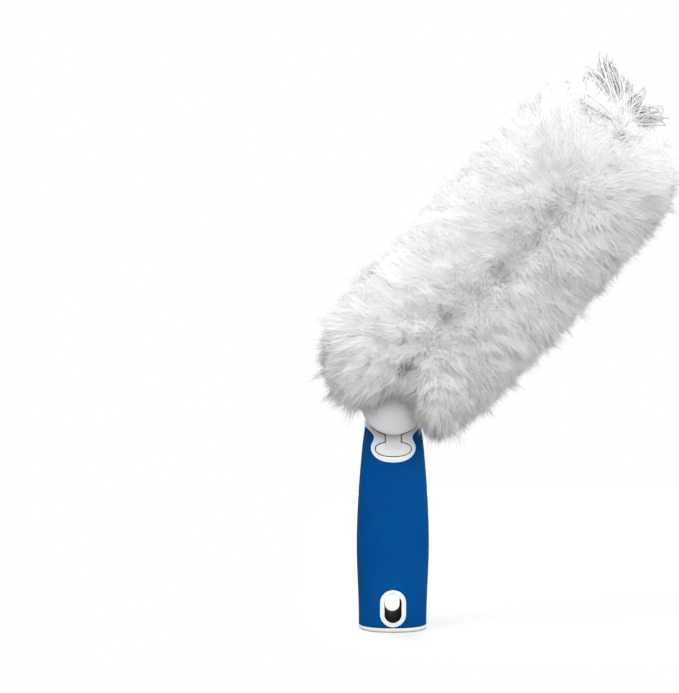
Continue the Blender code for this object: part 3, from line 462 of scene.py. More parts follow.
def make_moulded_group():
    """Moulded plastic: a fine spark-eroded grain for the bump, and slow drifts of tone and of shine."""
    group, start, end = add_group("moulded surface", [
        ("Color", "NodeSocketColor", (0.8, 0.8, 0.8, 1)),
        ("Drift Color", "NodeSocketColor", (0.7, 0.7, 0.7, 1)),
        ("Roughness", "NodeSocketFloat", 0.4),
        ("Grain Scale", "NodeSocketFloat", 2600.0),
    ], [("Color", "NodeSocketColor"), ("Roughness", "NodeSocketFloat"), ("Height", "NodeSocketFloat")])
    given = start.outputs
    place = object_place(group)
    drift = add_node(group, "TexNoise", Vector=place, Scale=42.0, Detail=3.0)
    grain = add_node(group, "TexNoise", Vector=place, Scale=given["Grain Scale"], Detail=2.0)
    smudge = add_node(group, "TexNoise", Vector=place, Scale=150.0, Detail=4.0, Roughness=0.65)
    share = add_node(group, "MapRange", Value=drift.outputs["Fac"], i1=0.35, i2=0.70)
    shine = add_node(group, "MapRange", Value=smudge.outputs["Fac"], i1=0.3, i2=0.7,
                     i3=-0.06, i4=0.06)
    set_inputs(group, end, Color=add_mix(group, share.outputs[0], given["Color"], given["Drift Color"]),
               Roughness=add_math(group, "ADD", given["Roughness"], shine.outputs[0]),
               Height=grain.outputs["Fac"])
    return group


def make_fibre_group():
    """Fibre: tone by the strand's tint and by how far along it a point lies, darker towards the root as
    painted shade among the strands; on the pile the tint also holds the painted shade of the pits.
    """
    group, start, end = add_group("fibre tone", [
        ("Root Color", "NodeSocketColor", (0.6, 0.6, 0.6, 1)),
        ("Tip Color", "NodeSocketColor", (0.9, 0.9, 0.9, 1)),
    ], [("Color", "NodeSocketColor")])
    along = add_node(group, "Attribute", {"attribute_name": "along"})
    tint = add_node(group, "Attribute", {"attribute_name": "tint"})
    tone = add_mix(group, along.outputs["Fac"], start.outputs["Root Color"], start.outputs["Tip Color"])
    tinted = add_node(group, "HueSaturation", Color=tone, Value=tint.outputs["Fac"])
    set_inputs(group, end, Color=tinted.outputs["Color"])
    return group


def make_knit_group():
    """Knit: rows of small stitches, as two crossed waves whose product gives each stitch its swell."""
    group, start, end = add_group("knit stitches", [
        ("Color", "NodeSocketColor", (0.8, 0.8, 0.8, 1)),
        ("Gap Color", "NodeSocketColor", (0.5, 0.5, 0.5, 1)),
        ("Pitch Scale", "NodeSocketFloat", 420.0),
    ], [("Color", "NodeSocketColor"), ("Height", "NodeSocketFloat")])
    place = object_place(group)
    columns, rows = [
        add_node(group, "TexWave", {"bands_direction": way}, Vector=place,
                 Scale=start.outputs["Pitch Scale"], Distortion=1.2, Detail=1.0)
        for way in "XZ"]
    swell = add_math(group, "MULTIPLY", columns.outputs["Fac"], rows.outputs["Fac"])
    set_inputs(group, end, Color=add_mix(group, swell, start.outputs["Gap Color"], start.outputs["Color"]),
               Height=swell)
    return group


MOULDED = make_moulded_group()
FIBRE = make_fibre_group()
KNIT = make_knit_group()


def new_material(name):
    """A material with an empty Principled shader; returns it, its tree and the shader."""
    made = bpy.data.materials.new(name)
    made.use_nodes = True
    return made, made.node_tree, made.node_tree.nodes["Principled BSDF"]


def moulded_material(name, color, drift, roughness, grain=2600.0, bump=0.00002, specular=0.5):
    """Moulded plastic or rubber from the shared group, with its own colour, shine and grain."""
    made, tree, shader = new_material(name)
    group = add_node(tree, "Group", {"node_tree": MOULDED}, Color=(*color, 1),
                     Drift_Color=(*drift, 1), Roughness=roughness, Grain_Scale=grain)
    bumps = add_node(tree, "Bump", Strength=0.6, Distance=bump, Height=group.outputs["Height"])
    set_inputs(tree, shader, Base_Color=group.outputs["Color"], Roughness=group.outputs["Roughness"],
               Normal=bumps.outputs["Normal"], Specular_IOR_Level=specular)
    return made


def fibre_material(name, root, tip, through=0.5):
    """Matte white fibre, painted darker towards its roots as the shade among the strands, that lets part of
    the light through.
    """
    made, tree, shader = new_material(name)
    group = add_node(tree, "Group", {"node_tree": FIBRE}, Root_Color=(*root, 1),
                     Tip_Color=(*tip, 1))
    set_inputs(tree, shader, Base_Color=group.outputs["Color"], Roughness=0.85, Sheen_Weight=0.2,
               Sheen_Roughness=0.5, Specular_IOR_Level=0.2)
    behind = add_node(tree, "BsdfTranslucent", Color=group.outputs["Color"])
    mixed = add_node(tree, "MixShader", i0=through, i1=shader.outputs[0], i2=behind.outputs[0])
    set_inputs(tree, tree.nodes["Material Output"], Surface=mixed.outputs[0])
    return made


def knit_material(name, color, gap, pitch):
    """Knitted cloth with raised stitches."""
    made, tree, shader = new_material(name)
    group = add_node(tree, "Group", {"node_tree": KNIT}, Color=(*color, 1), Gap_Color=(*gap, 1),
                     Pitch_Scale=pitch)
    bumps = add_node(tree, "Bump", Strength=0.8, Distance=0.0004, Height=group.outputs["Height"])
    set_inputs(tree, shader, Base_Color=group.outputs["Color"], Normal=bumps.outputs["Normal"],
               Roughness=0.9, Sheen_Weight=0.2)
    return made


def steel_material(name):
    """Zinc-plated steel: fine brushed streaks in its shine."""
    made, tree, shader = new_material(name)
    place = object_place(tree)
    stretched = add_node(tree, "Mapping", Vector=place, Scale=(9000.0, 9000.0, 500.0))
    streaks = add_node(tree, "TexNoise", Vector=stretched.outputs["Vector"], Scale=1.0, Detail=2.0)
    rough = add_node(tree, "MapRange", Value=streaks.outputs["Fac"], i3=0.22, i4=0.42)
    set_inputs(tree, shader, Roughness=rough.outputs[0], Base_Color=(0.56, 0.56, 0.57, 1), Metallic=1.0)
    return made


BLUE_GRIP = moulded_material("soft blue grip", (0.0, 0.058, 0.215), (0.0, 0.050, 0.19), 0.62,
                             grain=3200.0, bump=0.00003, specular=0.03)
WHITE_MOULDING = moulded_material("white moulding", (0.70, 0.705, 0.72), (0.66, 0.665, 0.68), 0.34,
                                  bump=0.000008)
HUB_GREY = moulded_material("grey hub cover", (0.62, 0.62, 0.63), (0.58, 0.58, 0.59), 0.42, bump=0.00001)
PADDLE_GREY = moulded_material("paddle moulding", (0.50, 0.50, 0.51), (0.46, 0.46, 0.47), 0.45, grain=2200.0)
BLACK_LINER = moulded_material("black liner", (0.004, 0.004, 0.005), (0.006, 0.006, 0.007), 0.6,
                               specular=0.05)
# painted shade: a near-black colour for the walls of gaps, slots and openings, standing in for the deep
# shadow inside them
PAINTED_RECESS_SHADE = moulded_material("painted recess shade", (0.020, 0.020, 0.020), (0.016, 0.016, 0.016), 0.7, specular=0.05)
# partly painted highlight: the beads are real raised edges, and their pale blue-white stands in for the
# highlight along them
PALE_EDGE_HIGHLIGHT = moulded_material("pale edge with painted highlight", (0.66, 0.80, 0.98), (0.62, 0.77, 0.96), 0.3)
ACETAL = moulded_material("natural acetal", (0.62, 0.62, 0.58), (0.58, 0.58, 0.54), 0.38)
STEEL = steel_material("plated steel")
# the root colours are painted shade among the strands; the tip colours are the fibres' own
PILE_FIBRE = fibre_material("white pile fibre", (0.86, 0.86, 0.86), (0.93, 0.93, 0.93))
YARN_FIBRE = fibre_material("white yarn", (0.70, 0.70, 0.695), (0.82, 0.82, 0.81), 0.4)
KNIT_WHITE = knit_material("knitted pouch cloth", (0.80, 0.80, 0.80), (0.55, 0.55, 0.55), 420.0)


# Handle shells

def oval(half_x, half_y, squareness, sides):
    """Superellipse |x/a|^n + |y/b|^n = 1, spaced evenly along its length."""
    turn = np.linspace(0, 2 * math.pi, 16 * sides + 1)
    c, s = np.cos(turn), np.sin(turn)
    x = half_x * np.sign(c) * np.abs(c) ** (2 / squareness)
    y = half_y * np.sign(s) * np.abs(s) ** (2 / squareness)
    length = np.concatenate([[0], np.cumsum(np.hypot(np.diff(x), np.diff(y)))])
    at = np.linspace(0, length[-1], sides, endpoint=False)
    return np.column_stack([np.interp(at, length, x), np.interp(at, length, y)])


def handle_halves(heights):
    """The handle's half width and half depth at each height."""
    share = np.asarray(heights) / PIVOT
    return (smooth_table(share, HANDLE_HEIGHTS, HANDLE_WIDTHS) * HANDLE_HALF_WIDTH,
            smooth_table(share, HANDLE_HEIGHTS, HANDLE_DEPTHS) * HANDLE_HALF_DEPTH)


def handle_rings(heights, inset, sides=144):
    """The handle's oval section at each height, drawn in by inset."""
    return [np.column_stack([oval(half_width - inset, half_depth - inset, HANDLE_SQUARENESS, sides),
                             np.full(sides, height)])
            for height, half_width, half_depth in zip(heights, *handle_halves(heights))]


def between(low, high, step=0.0026):
    """Evenly spaced heights from low to high, about a step apart."""
    return np.linspace(low, high, max(2, round((high - low) / step) + 1))


def handle_form(name, low, high, inset, look=None):
    """A closed body with the handle's own surface, between two heights."""
    return tube_shell(name, handle_rings(between(low, high), inset), look)


def at_depth(outline, depth):
    """An outline in X and Z as points at a depth."""
    outline = np.asarray(outline)
    return np.column_stack([outline[:, 0], np.broadcast_to(depth, len(outline)), outline[:, 1]])


def prism(name, outline, front, rear, look=None):
    """An outline in X and Z carried straight from the front to the rear, as a closed body."""
    return tube_shell(name, [at_depth(outline, depth) for depth in (rear, front)], look)


def slot_outline(grown=0.0):
    """The hang slot, grown on every side: two half circles joined by straight sides."""
    reach = SLOT_HALF_LENGTH - SLOT_HALF_WIDTH
    turn = np.linspace(0, math.pi, 33)
    radius = SLOT_HALF_WIDTH + grown
    upper = np.column_stack([radius * np.cos(turn), radius * np.sin(turn) + reach])
    return np.concatenate([upper, -upper]) + (0, SLOT_HEIGHT)


def island_outline(grown=0.0):
    """The bare island: a smooth curve through its half widths, mirrored left to right, grown outwards."""
    steps = np.arange(len(ISLAND_ACROSS))
    fine = np.linspace(0, steps[-1], 60)
    across = smooth_table(fine, steps, ISLAND_ACROSS) * ISLAND_HALF_WIDTH
    up = smooth_table(fine, steps, ISLAND_UP) + BUTTON_HEIGHT
    side = np.column_stack([across, up])
    outward = np.gradient(side, axis=0)[:, ::-1] * (1, -1)
    side = side + grown * unit(outward)
    side[0, 0] = 0
    return np.concatenate([side, side[:0:-1] * (-1, 1)])


def button_outline(grown=0.0):
    """The key's oval, grown on every side."""
    ring = oval(BUTTON_HALF_WIDTH + grown, BUTTON_HALF_HEIGHT + grown, BUTTON_SQUARENESS, 96)
    return ring + (0, BUTTON_HEIGHT)


def disc(name, radius, front, rear, sides=160, look=None, drop=0.0):
    """A plain round body about the pivot's axis, or about a line a little below it."""
    c, s = circle(sides)
    return prism(name, np.column_stack([radius * c, PIVOT - drop + radius * s]), front, rear, look)


def box(name, half_width, y, z, look=None):
    """A plain box, as wide to both sides, from pairs of limits."""
    corners = [(-half_width, z[0]), (half_width, z[0]), (half_width, z[1]), (-half_width, z[1])]
    return prism(name, corners, *y, look)


def make_grip():
    """The soft shell: the handle's oval carried up it, hollow, with the island, slot and hub cut away."""
    grip = handle_form("grip_shell", RIM_HEIGHT + GAP, GRIP_TOP, 0, BLUE_GRIP)
    carve(grip, [handle_form("hollow", -0.001, GRIP_TOP + 0.002, GRIP_WALL - GAP),
                 prism("island", island_outline(SKIN), CUT_FRONT, 0),
                 prism("slot", slot_outline(SLOT_BORDER), CUT_FRONT, CUT_REAR),
                 disc("hub way", HUB_WAY_RADIUS, HUB_CUT_FRONT, EAR_FRONT)])
    soften(grip, GRIP_EDGE)
    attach(grip, "handle")
    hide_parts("grip")


def slot_way():
    """The hang slot's hole: its outline carried through the handle, narrower from the front to the rear, its
    walls in painted shade.
    """
    rings = [at_depth(slot_outline(-SLOT_HALF_WIDTH * (1 - share)), depth)
             for share, depth in ((SLOT_REAR_SHARE, 0.022), (1.0, -0.0150), (1.0, -0.022))]
    return tube_shell("slot", rings, PAINTED_RECESS_SHADE)


def make_ear():
    """The handle's ear behind the hub: a round plate with a rounded rear edge, cut off at the grip's top."""
    bend = np.linspace(0, math.pi / 2, 5)
    radii = [0, *(EAR_RADIUS - EAR_EDGE + EAR_EDGE * np.sin(bend)), EAR_RADIUS, 0]
    root = EAR_FRONT - 0.002
    depths = [EAR_REAR, *(EAR_REAR - EAR_EDGE + EAR_EDGE * np.cos(bend)), root, root]
    ear = turned_shell("ear form", radii, depths, None)
    carve(ear, [box("under the ear", 0.04, (-0.02, 0.03), (0.09, GRIP_TOP + 2 * GAP))])
    return ear


def make_handle_moulding():
    """The white moulding: rim, waist under the grip, shoulder, island and slot border, with its bores."""
    rings = []
    for turn in np.radians((0, 18, 36, 54, 72)):
        rings += handle_rings([RIM_ROUNDING * (1 - math.cos(turn))], RIM_ROUNDING * (1 - math.sin(turn)))
    rings += handle_rings(between(RIM_ROUNDING, RIM_HEIGHT), 0)
    rings += handle_rings(between(RIM_HEIGHT, GRIP_TOP + GAP), GRIP_WALL)
    rings += handle_rings(between(GRIP_TOP + GAP, SHOULDER_TOP), 0)
    core = tube_shell("handle_moulding", rings, WHITE_MOULDING)
    island = handle_form("island form", 0.098, SHOULDER_TOP, -SKIN)
    carve(island, [prism("island outline", island_outline(-SKIN), CUT_FRONT, 0)], "INTERSECT")
    border = handle_form("border form", 0.0014, 0.0340, -RAISED)
    border_outline = slot_outline(SLOT_BORDER - SKIN)
    carve(border, [prism("border outline", border_outline, CUT_FRONT, CUT_REAR)], "INTERSECT")
    carve(core, [island, border, make_ear()], "UNION")
    # the cutters in the recess colour leave their walls near-black: painted shade in the cover's seam, the
    # button's gap and the neck's channel
    carve(core, [
        disc("hub way", SEAM_RADIUS, HUB_CUT_FRONT, EAR_FRONT, look=PAINTED_RECESS_SHADE, drop=SEAM_DROP),
        turned_shell("socket bore", SOCKET_RADII, SOCKET_HEIGHTS, None, 96, upright=True),
        slot_way(),
        *(disc(*bore) for bore in ROUND_BORES),
        prism("button opening", button_outline(BUTTON_ROOM), *BUTTON_WAY, PAINTED_RECESS_SHADE),
        box("neck channel", NECK_HALF_WIDTH + BUTTON_ROOM, BUTTON_WAY, (BUTTON_HEIGHT, CHANNEL_TOP), PAINTED_RECESS_SHADE),
        box("leaf pocket", LEAF_WAY, (-0.0045, 0.0016), (0.1075, CHANNEL_TOP)),
        box("leaf foot slot", LEAF_WAY, (-0.0045, -0.0031), (0.1012, 0.1095)),
    ])
    soften(core, MOULDING_EDGE, 38)
    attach(core, "handle")
    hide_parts("handle_core")


def make_bead(name, outline, closed, sides=10):
    """A round bead along an outline in X and Z on the handle's front: y = -b (1 - |x/a|^2.3)^(1/2.3)."""
    half_width, half_depth = handle_halves(outline[:, 1])
    aside = np.minimum(np.abs(outline[:, 0]) / half_width, 0.998)
    path = at_depth(outline, -half_depth * (1 - aside**HANDLE_SQUARENESS) ** (1 / HANDLE_SQUARENESS))
    heading = np.roll(path, -1, axis=0) - np.roll(path, 1, axis=0) if closed else np.gradient(path, axis=0)
    inward = unit(np.cross(heading, (0, 1, 0)))
    outward = unit(np.cross(inward, heading))
    c, s = circle(sides)
    rings = path[:, None] + BEAD_RADIUS * (c[:, None] * inward[:, None] + s[:, None] * outward[:, None])
    faces = [ring_faces(len(rings), sides)] if closed else tube_faces(len(rings), sides)
    item = mesh_object(name, rings, faces, PALE_EDGE_HIGHLIGHT)
    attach(item, "handle")


def make_beads():
    """The raised edges that frame the island and the hang slot; their pale blue-white paints the highlight
    that runs along them.
    """
    side = island_outline(-0.0005)
    half = len(side) // 2 + 1
    lower = np.concatenate([side[half:], side[:half]])
    lower = lower[np.hypot(lower[:, 0], lower[:, 1] - PIVOT) > HUB_WAY_RADIUS]
    lower = lower[np.abs(lower[:, 0]) < 0.985 * handle_halves(lower[:, 1])[0]]
    make_bead("island_edge", lower, False)
    make_bead("slot_edge", slot_outline(SLOT_BORDER - BEAD_INSET), True)


def make_button():
    """The key: the handle's own surface cut to an oval, with a lower neck that runs up under the hub."""
    key = tube_shell("button_key", handle_rings(between(*BUTTON_FORM, 0.001), -RAISED), WHITE_MOULDING)
    carve(key, [prism("key outline", button_outline(), CUT_FRONT, BUTTON_BACK)], "INTERSECT")
    neck = box("neck", NECK_HALF_WIDTH, NECK_DEPTHS, (BUTTON_HEIGHT, PIVOT - HUB_RADIUS + 0.0014))
    carve(neck, [disc("hub over neck", HUB_RADIUS + 2 * GAP, HUB_CUT_FRONT, HUB_REAR + GAP)])
    carve(key, [neck], "UNION")
    soften(key, KEY_EDGE, 40, 3)
    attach(key, "lock")
    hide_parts("lock_button")


def make_hub_cover():
    """The dome: rise * (1 - r^3)^0.6 turned about the pivot, with a rounded rim and a flat back."""
    share = np.sin(np.linspace(0, math.pi / 2, 30))
    seat = HUB_FRONT - GAP
    outer = seat - CAP_EDGE - (CAP_DOME - CAP_EDGE) * (1 - share**3) ** 0.6
    radii = [0, *(CAP_RADIUS * share[1:]), CAP_RADIUS, CAP_RADIUS - 0.0008, 0]
    depths = [*outer, seat - 0.0002, seat, seat]
    cap = turned_shell("hub_cover", radii[::-1], depths[::-1], HUB_GREY, 144)
    soften(cap, COVER_EDGE, 50)
    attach(cap, "head")
    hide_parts("hub_cap")


def make_rear_cap():
    """The small dome over the nut at the back: rise * (1 - r^2.6)^0.7 turned about the pivot."""
    share = np.sin(np.linspace(0, math.pi / 2, 20))
    seat = EAR_REAR + GAP
    outer = seat + CAP_EDGE + REAR_CAP_DOME * (1 - share**2.6) ** 0.7
    radii = [0, *(REAR_CAP_RADIUS * share[1:]), REAR_CAP_RADIUS, 0]
    cap = turned_shell("rear_cover", radii, [*outer, seat, seat], WHITE_MOULDING, 96)
    soften(cap, COVER_EDGE, 50)
    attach(cap, "handle")
    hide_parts("rear_cap")


# Sleeve: pouch, cuff, pile and tuft

def paddle_ring(along, grown, narrowed=0.0, thinned=0.0, sides=96):
    """The tapering paddle's section at a distance from the pivot, grown on every side."""
    share = along / PADDLE_LENGTH
    half_width, half_thickness = (near - (near - far) * share + grown
                                  for near, far in (PADDLE_HALF_WIDTHS, PADDLE_HALF_THICKNESSES))
    ring = oval(half_width - narrowed, half_thickness - thinned, 5.0, sides)
    return to_world(ring[:, 0], np.full(sides, along), PADDLE_MIDDLE + ring[:, 1])


def paddle_rings(grown, start, end):
    """Rings of the paddle from start to its rounded end, grown on every side."""
    rounding = 0.6 * PADDLE_HALF_WIDTHS[1]
    thinning = PADDLE_HALF_THICKNESSES[1] / 2
    rings = [paddle_ring(along, grown) for along in np.linspace(start, end - rounding, 40)]
    for turn in np.radians((12, 24, 36, 48, 60, 72, 82)):
        fall = 1 - math.cos(turn)
        along = end - rounding * (1 - math.sin(turn))
        rings.append(paddle_ring(along, grown, rounding * fall, thinning * fall))
    return rings


def make_pouch():
    """The knitted pouch: the paddle's form grown by its wall outside and by its ease inside."""
    walls = (SLEEVE_EASE + POUCH_WALL, SLEEVE_EASE)
    outside, inside = (paddle_rings(grown, CUFF_END + GAP, PADDLE_LENGTH + grown) for grown in walls)
    rings = np.array(outside + inside[::-1])
    rows, columns, _ = rings.shape
    last = (len(outside) - 1) * columns
    sides = ring_faces(rows, columns)
    sides = sides[sides[:, 0] // columns != len(outside) - 1]
    far_ends = np.stack([last + np.arange(columns), last + columns + np.arange(columns)[::-1]])
    pouch = mesh_object("knit_pouch", rings, [sides, far_ends], KNIT_WHITE)
    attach(pouch, "sleeve")
    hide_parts("sleeve_backing")


def make_cuff():
    """The elastic cuff: a ribbed band, its wall swelling by |sin(36 a)| and round at both rims."""
    sides = 288
    rib = 1 + 0.30 * np.abs(np.sin(36 * np.linspace(0, 2 * math.pi, sides, endpoint=False)))[:, None]
    rings = []
    for turn in np.linspace(0, math.pi, 9):
        along = (CUFF_START + CUFF_END) / 2 - math.cos(turn) * (CUFF_END - CUFF_START) / 2
        plain = paddle_ring(along, SLEEVE_EASE, sides=sides)
        wall = CUFF_WALL * (0.35 + 0.65 * math.sin(turn) ** 0.5)
        full = paddle_ring(along, SLEEVE_EASE + wall, sides=sides)
        rings.append(plain + (full - plain) * rib)
    rings += [paddle_ring(along, SLEEVE_EASE, sides=sides) for along in (CUFF_END, CUFF_START)]
    cuff = mesh_object("elastic_cuff", rings, [ring_faces(len(rings), sides)], KNIT_WHITE)
    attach(cuff, "sleeve")
    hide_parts("sleeve_cuff")


def pile_outline(turn):
    """Closed outline of the pile in head coordinates, for turn from 0 to 1: a cubic through its shares."""
    along = PILE_NEAR + np.array(PILE_ALONG_SHARES) * (PILE_FAR - PILE_NEAR)
    across = PILE_MIDDLE + np.array(PILE_ACROSS_SHARES) * PILE_HALF_WIDTH
    count = len(along)
    steps = np.arange(-count, 2 * count)
    at = (np.asarray(turn) % 1) * count
    return smooth_table(at, steps, np.tile(across, 3)), smooth_table(at, steps, np.tile(along, 3))


def past_spine(along):
    """How far a place lies past either end of the pile's spine."""
    return along - np.clip(along, *PILE_SPINE)


def pits(across, along):
    """The bell curves of the small pits in the pile's parting, each with its share; they sink the cushion,
    shorten the locks and, as painted shade, darken them.
    """
    return [share * bell(np.hypot(across - pit_across, along - pit_along) / PIT_RADIUS)
            for pit_along, pit_across, share in PITS]


def pile_surface(turn, lift, size=PILE_BODY):
    """The cushion: cos(lift)^0.87 of the way out from the spine and sin(lift)^0.87 of its depth.

    Positive lifts are the front. size draws it in about the spine, and a parting sinks by a bell curve
    along the spine on both faces.
    """
    across, along = pile_outline(turn)
    reach = np.cos(lift) ** 0.87 * size
    rise = np.sign(lift) * np.abs(np.sin(lift)) ** 0.87 * size
    v = PILE_MIDDLE + reach * (across - PILE_MIDDLE)
    u = np.clip(along, *PILE_SPINE) + reach * past_spine(along)
    points = to_world(v, u, PADDLE_MIDDLE - rise * PILE_HALF_THICKNESS)
    aside = np.hypot(v - parting_line(u), u - np.clip(u, *PARTING_ENDS)) / PARTING_HALF_WIDTH
    sunk = PARTING_DEPTH * bell(aside) * (0.75 + 0.5 * waves(points, 0.030, 5))
    sunk = sunk + (rise > 0) * PIT_DEPTH * sum(pits(v, u))
    swell = 1 + 0.045 * waves(points, 0.040, 3) + 0.03 * waves(points, 0.018, 4)
    points[..., 1] = PADDLE_MIDDLE - rise * PILE_HALF_THICKNESS * swell + np.sign(rise) * sunk
    return points


def pile_share(across, along):
    """How far out a place lies from the spine: 0 there, 1 on the outline."""
    edge_across, edge_along = pile_outline(np.linspace(0, 1, 720, endpoint=False))
    edge_aside, edge_off = edge_across - PILE_MIDDLE, past_spine(edge_along)
    angle = np.arctan2(edge_aside, edge_off)
    order = np.argsort(angle)
    off = past_spine(along)
    reach = np.interp(np.arctan2(across - PILE_MIDDLE, off), angle[order],
                      np.hypot(edge_aside, edge_off)[order], period=2 * math.pi)
    return np.hypot(across - PILE_MIDDLE, off) / reach


def pile_height(across, along):
    """The cushion's half thickness at a place: (1 - share^2.3)^0.435 of its most."""
    share = np.clip(pile_share(across, along) / PILE_BODY, 0, 1)
    return PILE_HALF_THICKNESS * PILE_BODY * (1 - share**2.3) ** 0.435


def parting_line(along):
    """Where the pile parts, across the head: a slow wave about the middle."""
    return -0.0095 + 0.0022 * np.sin(along * 60) + 0.0012 * np.sin(along * 151 + 1)


def pile_normal(turn, lift):
    """Outward normal, from differences of the surface along its two parameters."""
    step = 0.003
    low, high = (np.clip(lift + off, -LAST_LIFT, LAST_LIFT) for off in (-step, step))
    by_turn = pile_surface(turn + step, lift) - pile_surface(turn - step, lift)
    by_lift = pile_surface(turn, high) - pile_surface(turn, low)
    normal = unit(np.cross(by_turn, by_lift))
    normal = unit(normal + 1e-3 * np.sign(lift)[..., None] * FRONT)
    centre = to_world(PILE_MIDDLE, np.clip(pile_outline(turn)[1], *PILE_SPINE), PADDLE_MIDDLE)
    outward = pile_surface(turn, lift) - centre
    return normal * np.sign(np.sum(normal * outward, axis=-1, keepdims=True))


def scatter(count, seed):
    """Places spread evenly over the pile's surface: cells of a fine grid drawn by their area."""
    turns, lifts = np.linspace(0, 1, 361), np.linspace(-LAST_LIFT, LAST_LIFT, 181)
    corner = pile_surface(turns[:, None], lifts[None, :])
    side = corner[1:, :-1] - corner[:-1, :-1]
    other = corner[:-1, 1:] - corner[:-1, :-1]
    area = np.linalg.norm(np.cross(side, other), axis=-1).ravel()
    rng = np.random.default_rng(seed)
    cell = rng.choice(len(area), count, p=area / area.sum())
    row, column = np.divmod(cell, len(lifts) - 1)
    turn = (row + rng.random(count)) / (len(turns) - 1)
    lift = lifts[0] + (column + rng.random(count)) * (lifts[1] - lifts[0])
    return turn, lift


def tuft_share(points, lift):
    """How far the pile stands in tufts: fully at its rim and near the hub, hardly over its even faces."""
    near = np.exp(-((points[..., 0] ** 2 + (points[..., 2] - PIVOT - TUFTED_HEIGHT) ** 2) / TUFTED_REACH**2))
    return np.maximum(bell(lift / TUFTED_RIM), near)


def pit_share(points):
    """How long the pile is by the pits in its parting: a bell curve taken off round each."""
    length = 1.0
    for pit in pits(*to_head(points)):
        length = length * (1 - PIT_SHORTENS * pit * (points[..., 1] < PADDLE_MIDDLE))
    return np.maximum(length, LEAST_LENGTH)


def wisps(turn):
    """How much longer the pile grows by the hub: bell curves of the turn round its wispy corners."""
    return sum(height * bell(((turn - place + 0.5) % 1 - 0.5) / width) for place, width, height in WISPS)


def comb_direction(points, normals):
    """Which way the pile lies: away from the parting line, a little down, and in slow random swirls."""
    v, u = to_head(points)
    past_end = u - np.clip(u, *PARTING_ENDS)
    away = (v - parting_line(u))[:, None] * ACROSS + 1.2 * past_end[:, None] * ALONG
    away = away / (np.linalg.norm(away, axis=-1, keepdims=True) + 0.012)
    swirl = np.stack([waves(points, 0.028, 40 + k) for k in range(3)], axis=-1)
    return in_surface(COMB_AWAY * away + COMB_SWIRL * swirl + (0, 0, COMB_FALL), normals)


def lock_strands(turn, lift, seed):
    """Strands in locks: each leaves the cushion, bends along the comb direction and ends by its lock's tip.

    Returns the points (locks, strands, 3, 3) and the outward normals (locks, 3).
    """
    rng = np.random.default_rng(seed)
    base = pile_surface(turn, lift)
    normal = pile_normal(turn, lift)
    count = len(base)
    one, many = (count, 1), (count, PER_LOCK)
    flow = in_surface(comb_direction(base, normal) + rng.normal(0, COMB_SPREAD, (count, 3)), normal)
    longer = 1 + 0.9 * rng.random(one) ** 9 + wisps(turn)[:, None] * rng.random(one) ** 2
    tufted = tuft_share(base, lift)[:, None]
    proud = np.where(rng.random(one) < PROUD_SHARE, 1 + (PROUD_RISE - 1) * tufted, 1)
    tufts = 1 + TUFT_SWELL * tufted * waves(base, TUFT_SPACING, 31)[:, None]
    short = pit_share(base)[:, None]
    reach = STRAND_REACH * rng.uniform(*REACH_RANGE, one) * longer * short * flow
    rise = STRAND_RISE * rng.uniform(*RISE_RANGE, one) * longer * proud * tufts * short * normal
    offset = in_surface(rng.normal(0, LOCK_ROOT, (*many, 3)), normal[:, None])
    stray = np.where(rng.random((*many, 1)) < STRAY_SHARE, STRAY_REACH, 1.0)
    mist = (LOCK_MIST + (LOCK_TIP - LOCK_MIST) * tufted)[:, None]
    jitter = np.clip(rng.normal(0, 1, (*many, 3)), -2, 2) * stray * mist
    gather = (0.60 - 0.40 * tufted)[:, None]
    own = rng.uniform(*OWN_RANGE, (*many, 1))
    base, sunk = base[:, None], STRAND_SUNK * normal[:, None]
    root = base + offset - sunk
    bend = base + 0.75 * offset + own * (0.42 * reach + 0.62 * rise)[:, None] + 0.4 * jitter
    tip = base + gather * offset + own * (reach + rise)[:, None] + jitter
    return np.stack([root, bend, tip], axis=2), normal


def strand_ribbons(name, paths, normals, tones_and_shade):
    """Each strand as a thin flat ribbon that faces outwards and ends in a point, shaded by soft normals."""
    per_lock = paths.shape[1]
    paths = paths.reshape(-1, 3, 3)
    normals = np.repeat(normals, per_lock, axis=0)[:, None]
    heading = np.gradient(paths, axis=1)
    sideways = unit(np.cross(heading, normals))
    half = STRAND_WIDTH / 2 * sideways[:, :2]
    points = np.stack([paths[:, :2] - half, paths[:, :2] + half], axis=2).reshape(-1, 4, 3)
    points = np.concatenate([points, paths[:, 2:]], axis=1)
    count = len(points)
    first = np.arange(count)[:, None] * 5
    item = mesh_object(name, points, [first + (0, 1, 3, 2), first + (2, 3, 4)], PILE_FIBRE)
    facing = unit(np.cross(sideways, heading))
    facing = facing * np.sign(np.sum(facing * normals, axis=-1, keepdims=True))
    facing = unit(0.7 * normals + 0.3 * facing)
    facing = np.concatenate([np.repeat(facing[:, :2], 2, axis=1), facing[:, 2:]], axis=1).astype(np.float32)
    smooth = item.data.attributes.new("custom_normal", "FLOAT_VECTOR", "POINT")
    smooth.data.foreach_set("vector", facing.ravel())
    set_values(item, "along", np.tile((0, 0, 0.6, 0.6, 1.0), count))
    set_values(item, "tint", np.repeat(tones_and_shade, 5 * per_lock))
    return item


def in_hub_way(points):
    """True where the hub and its cover need room behind the fringe."""
    v, u = to_head(points)
    return (np.hypot(v, np.maximum(u, 0)) < HUB_WAY) & (points[..., 1] > FRINGE_BACK)


def in_ear_way(points):
    """True where the handle's ear and shoulder need room in the rear pile."""
    x, z = points[..., 0], points[..., 2] - PIVOT
    beside = np.where(z > 0, np.hypot(x, z), np.abs(x)) < EAR_WAY
    under = (z < -EAR_WAY_DROP) & (x > 0) & (x < 2 * EAR_WAY)
    return (beside | under) & (points[..., 1] > PADDLE_MIDDLE)


def in_heel(points):
    """True where the pile would lie too near the pivot when the head is folded right down."""
    v, u = to_head(points)
    fold = FOLD - HEAD_TILT - math.pi / 2
    return u * math.cos(fold) + v * math.sin(fold) < FOLD_CLEARANCE


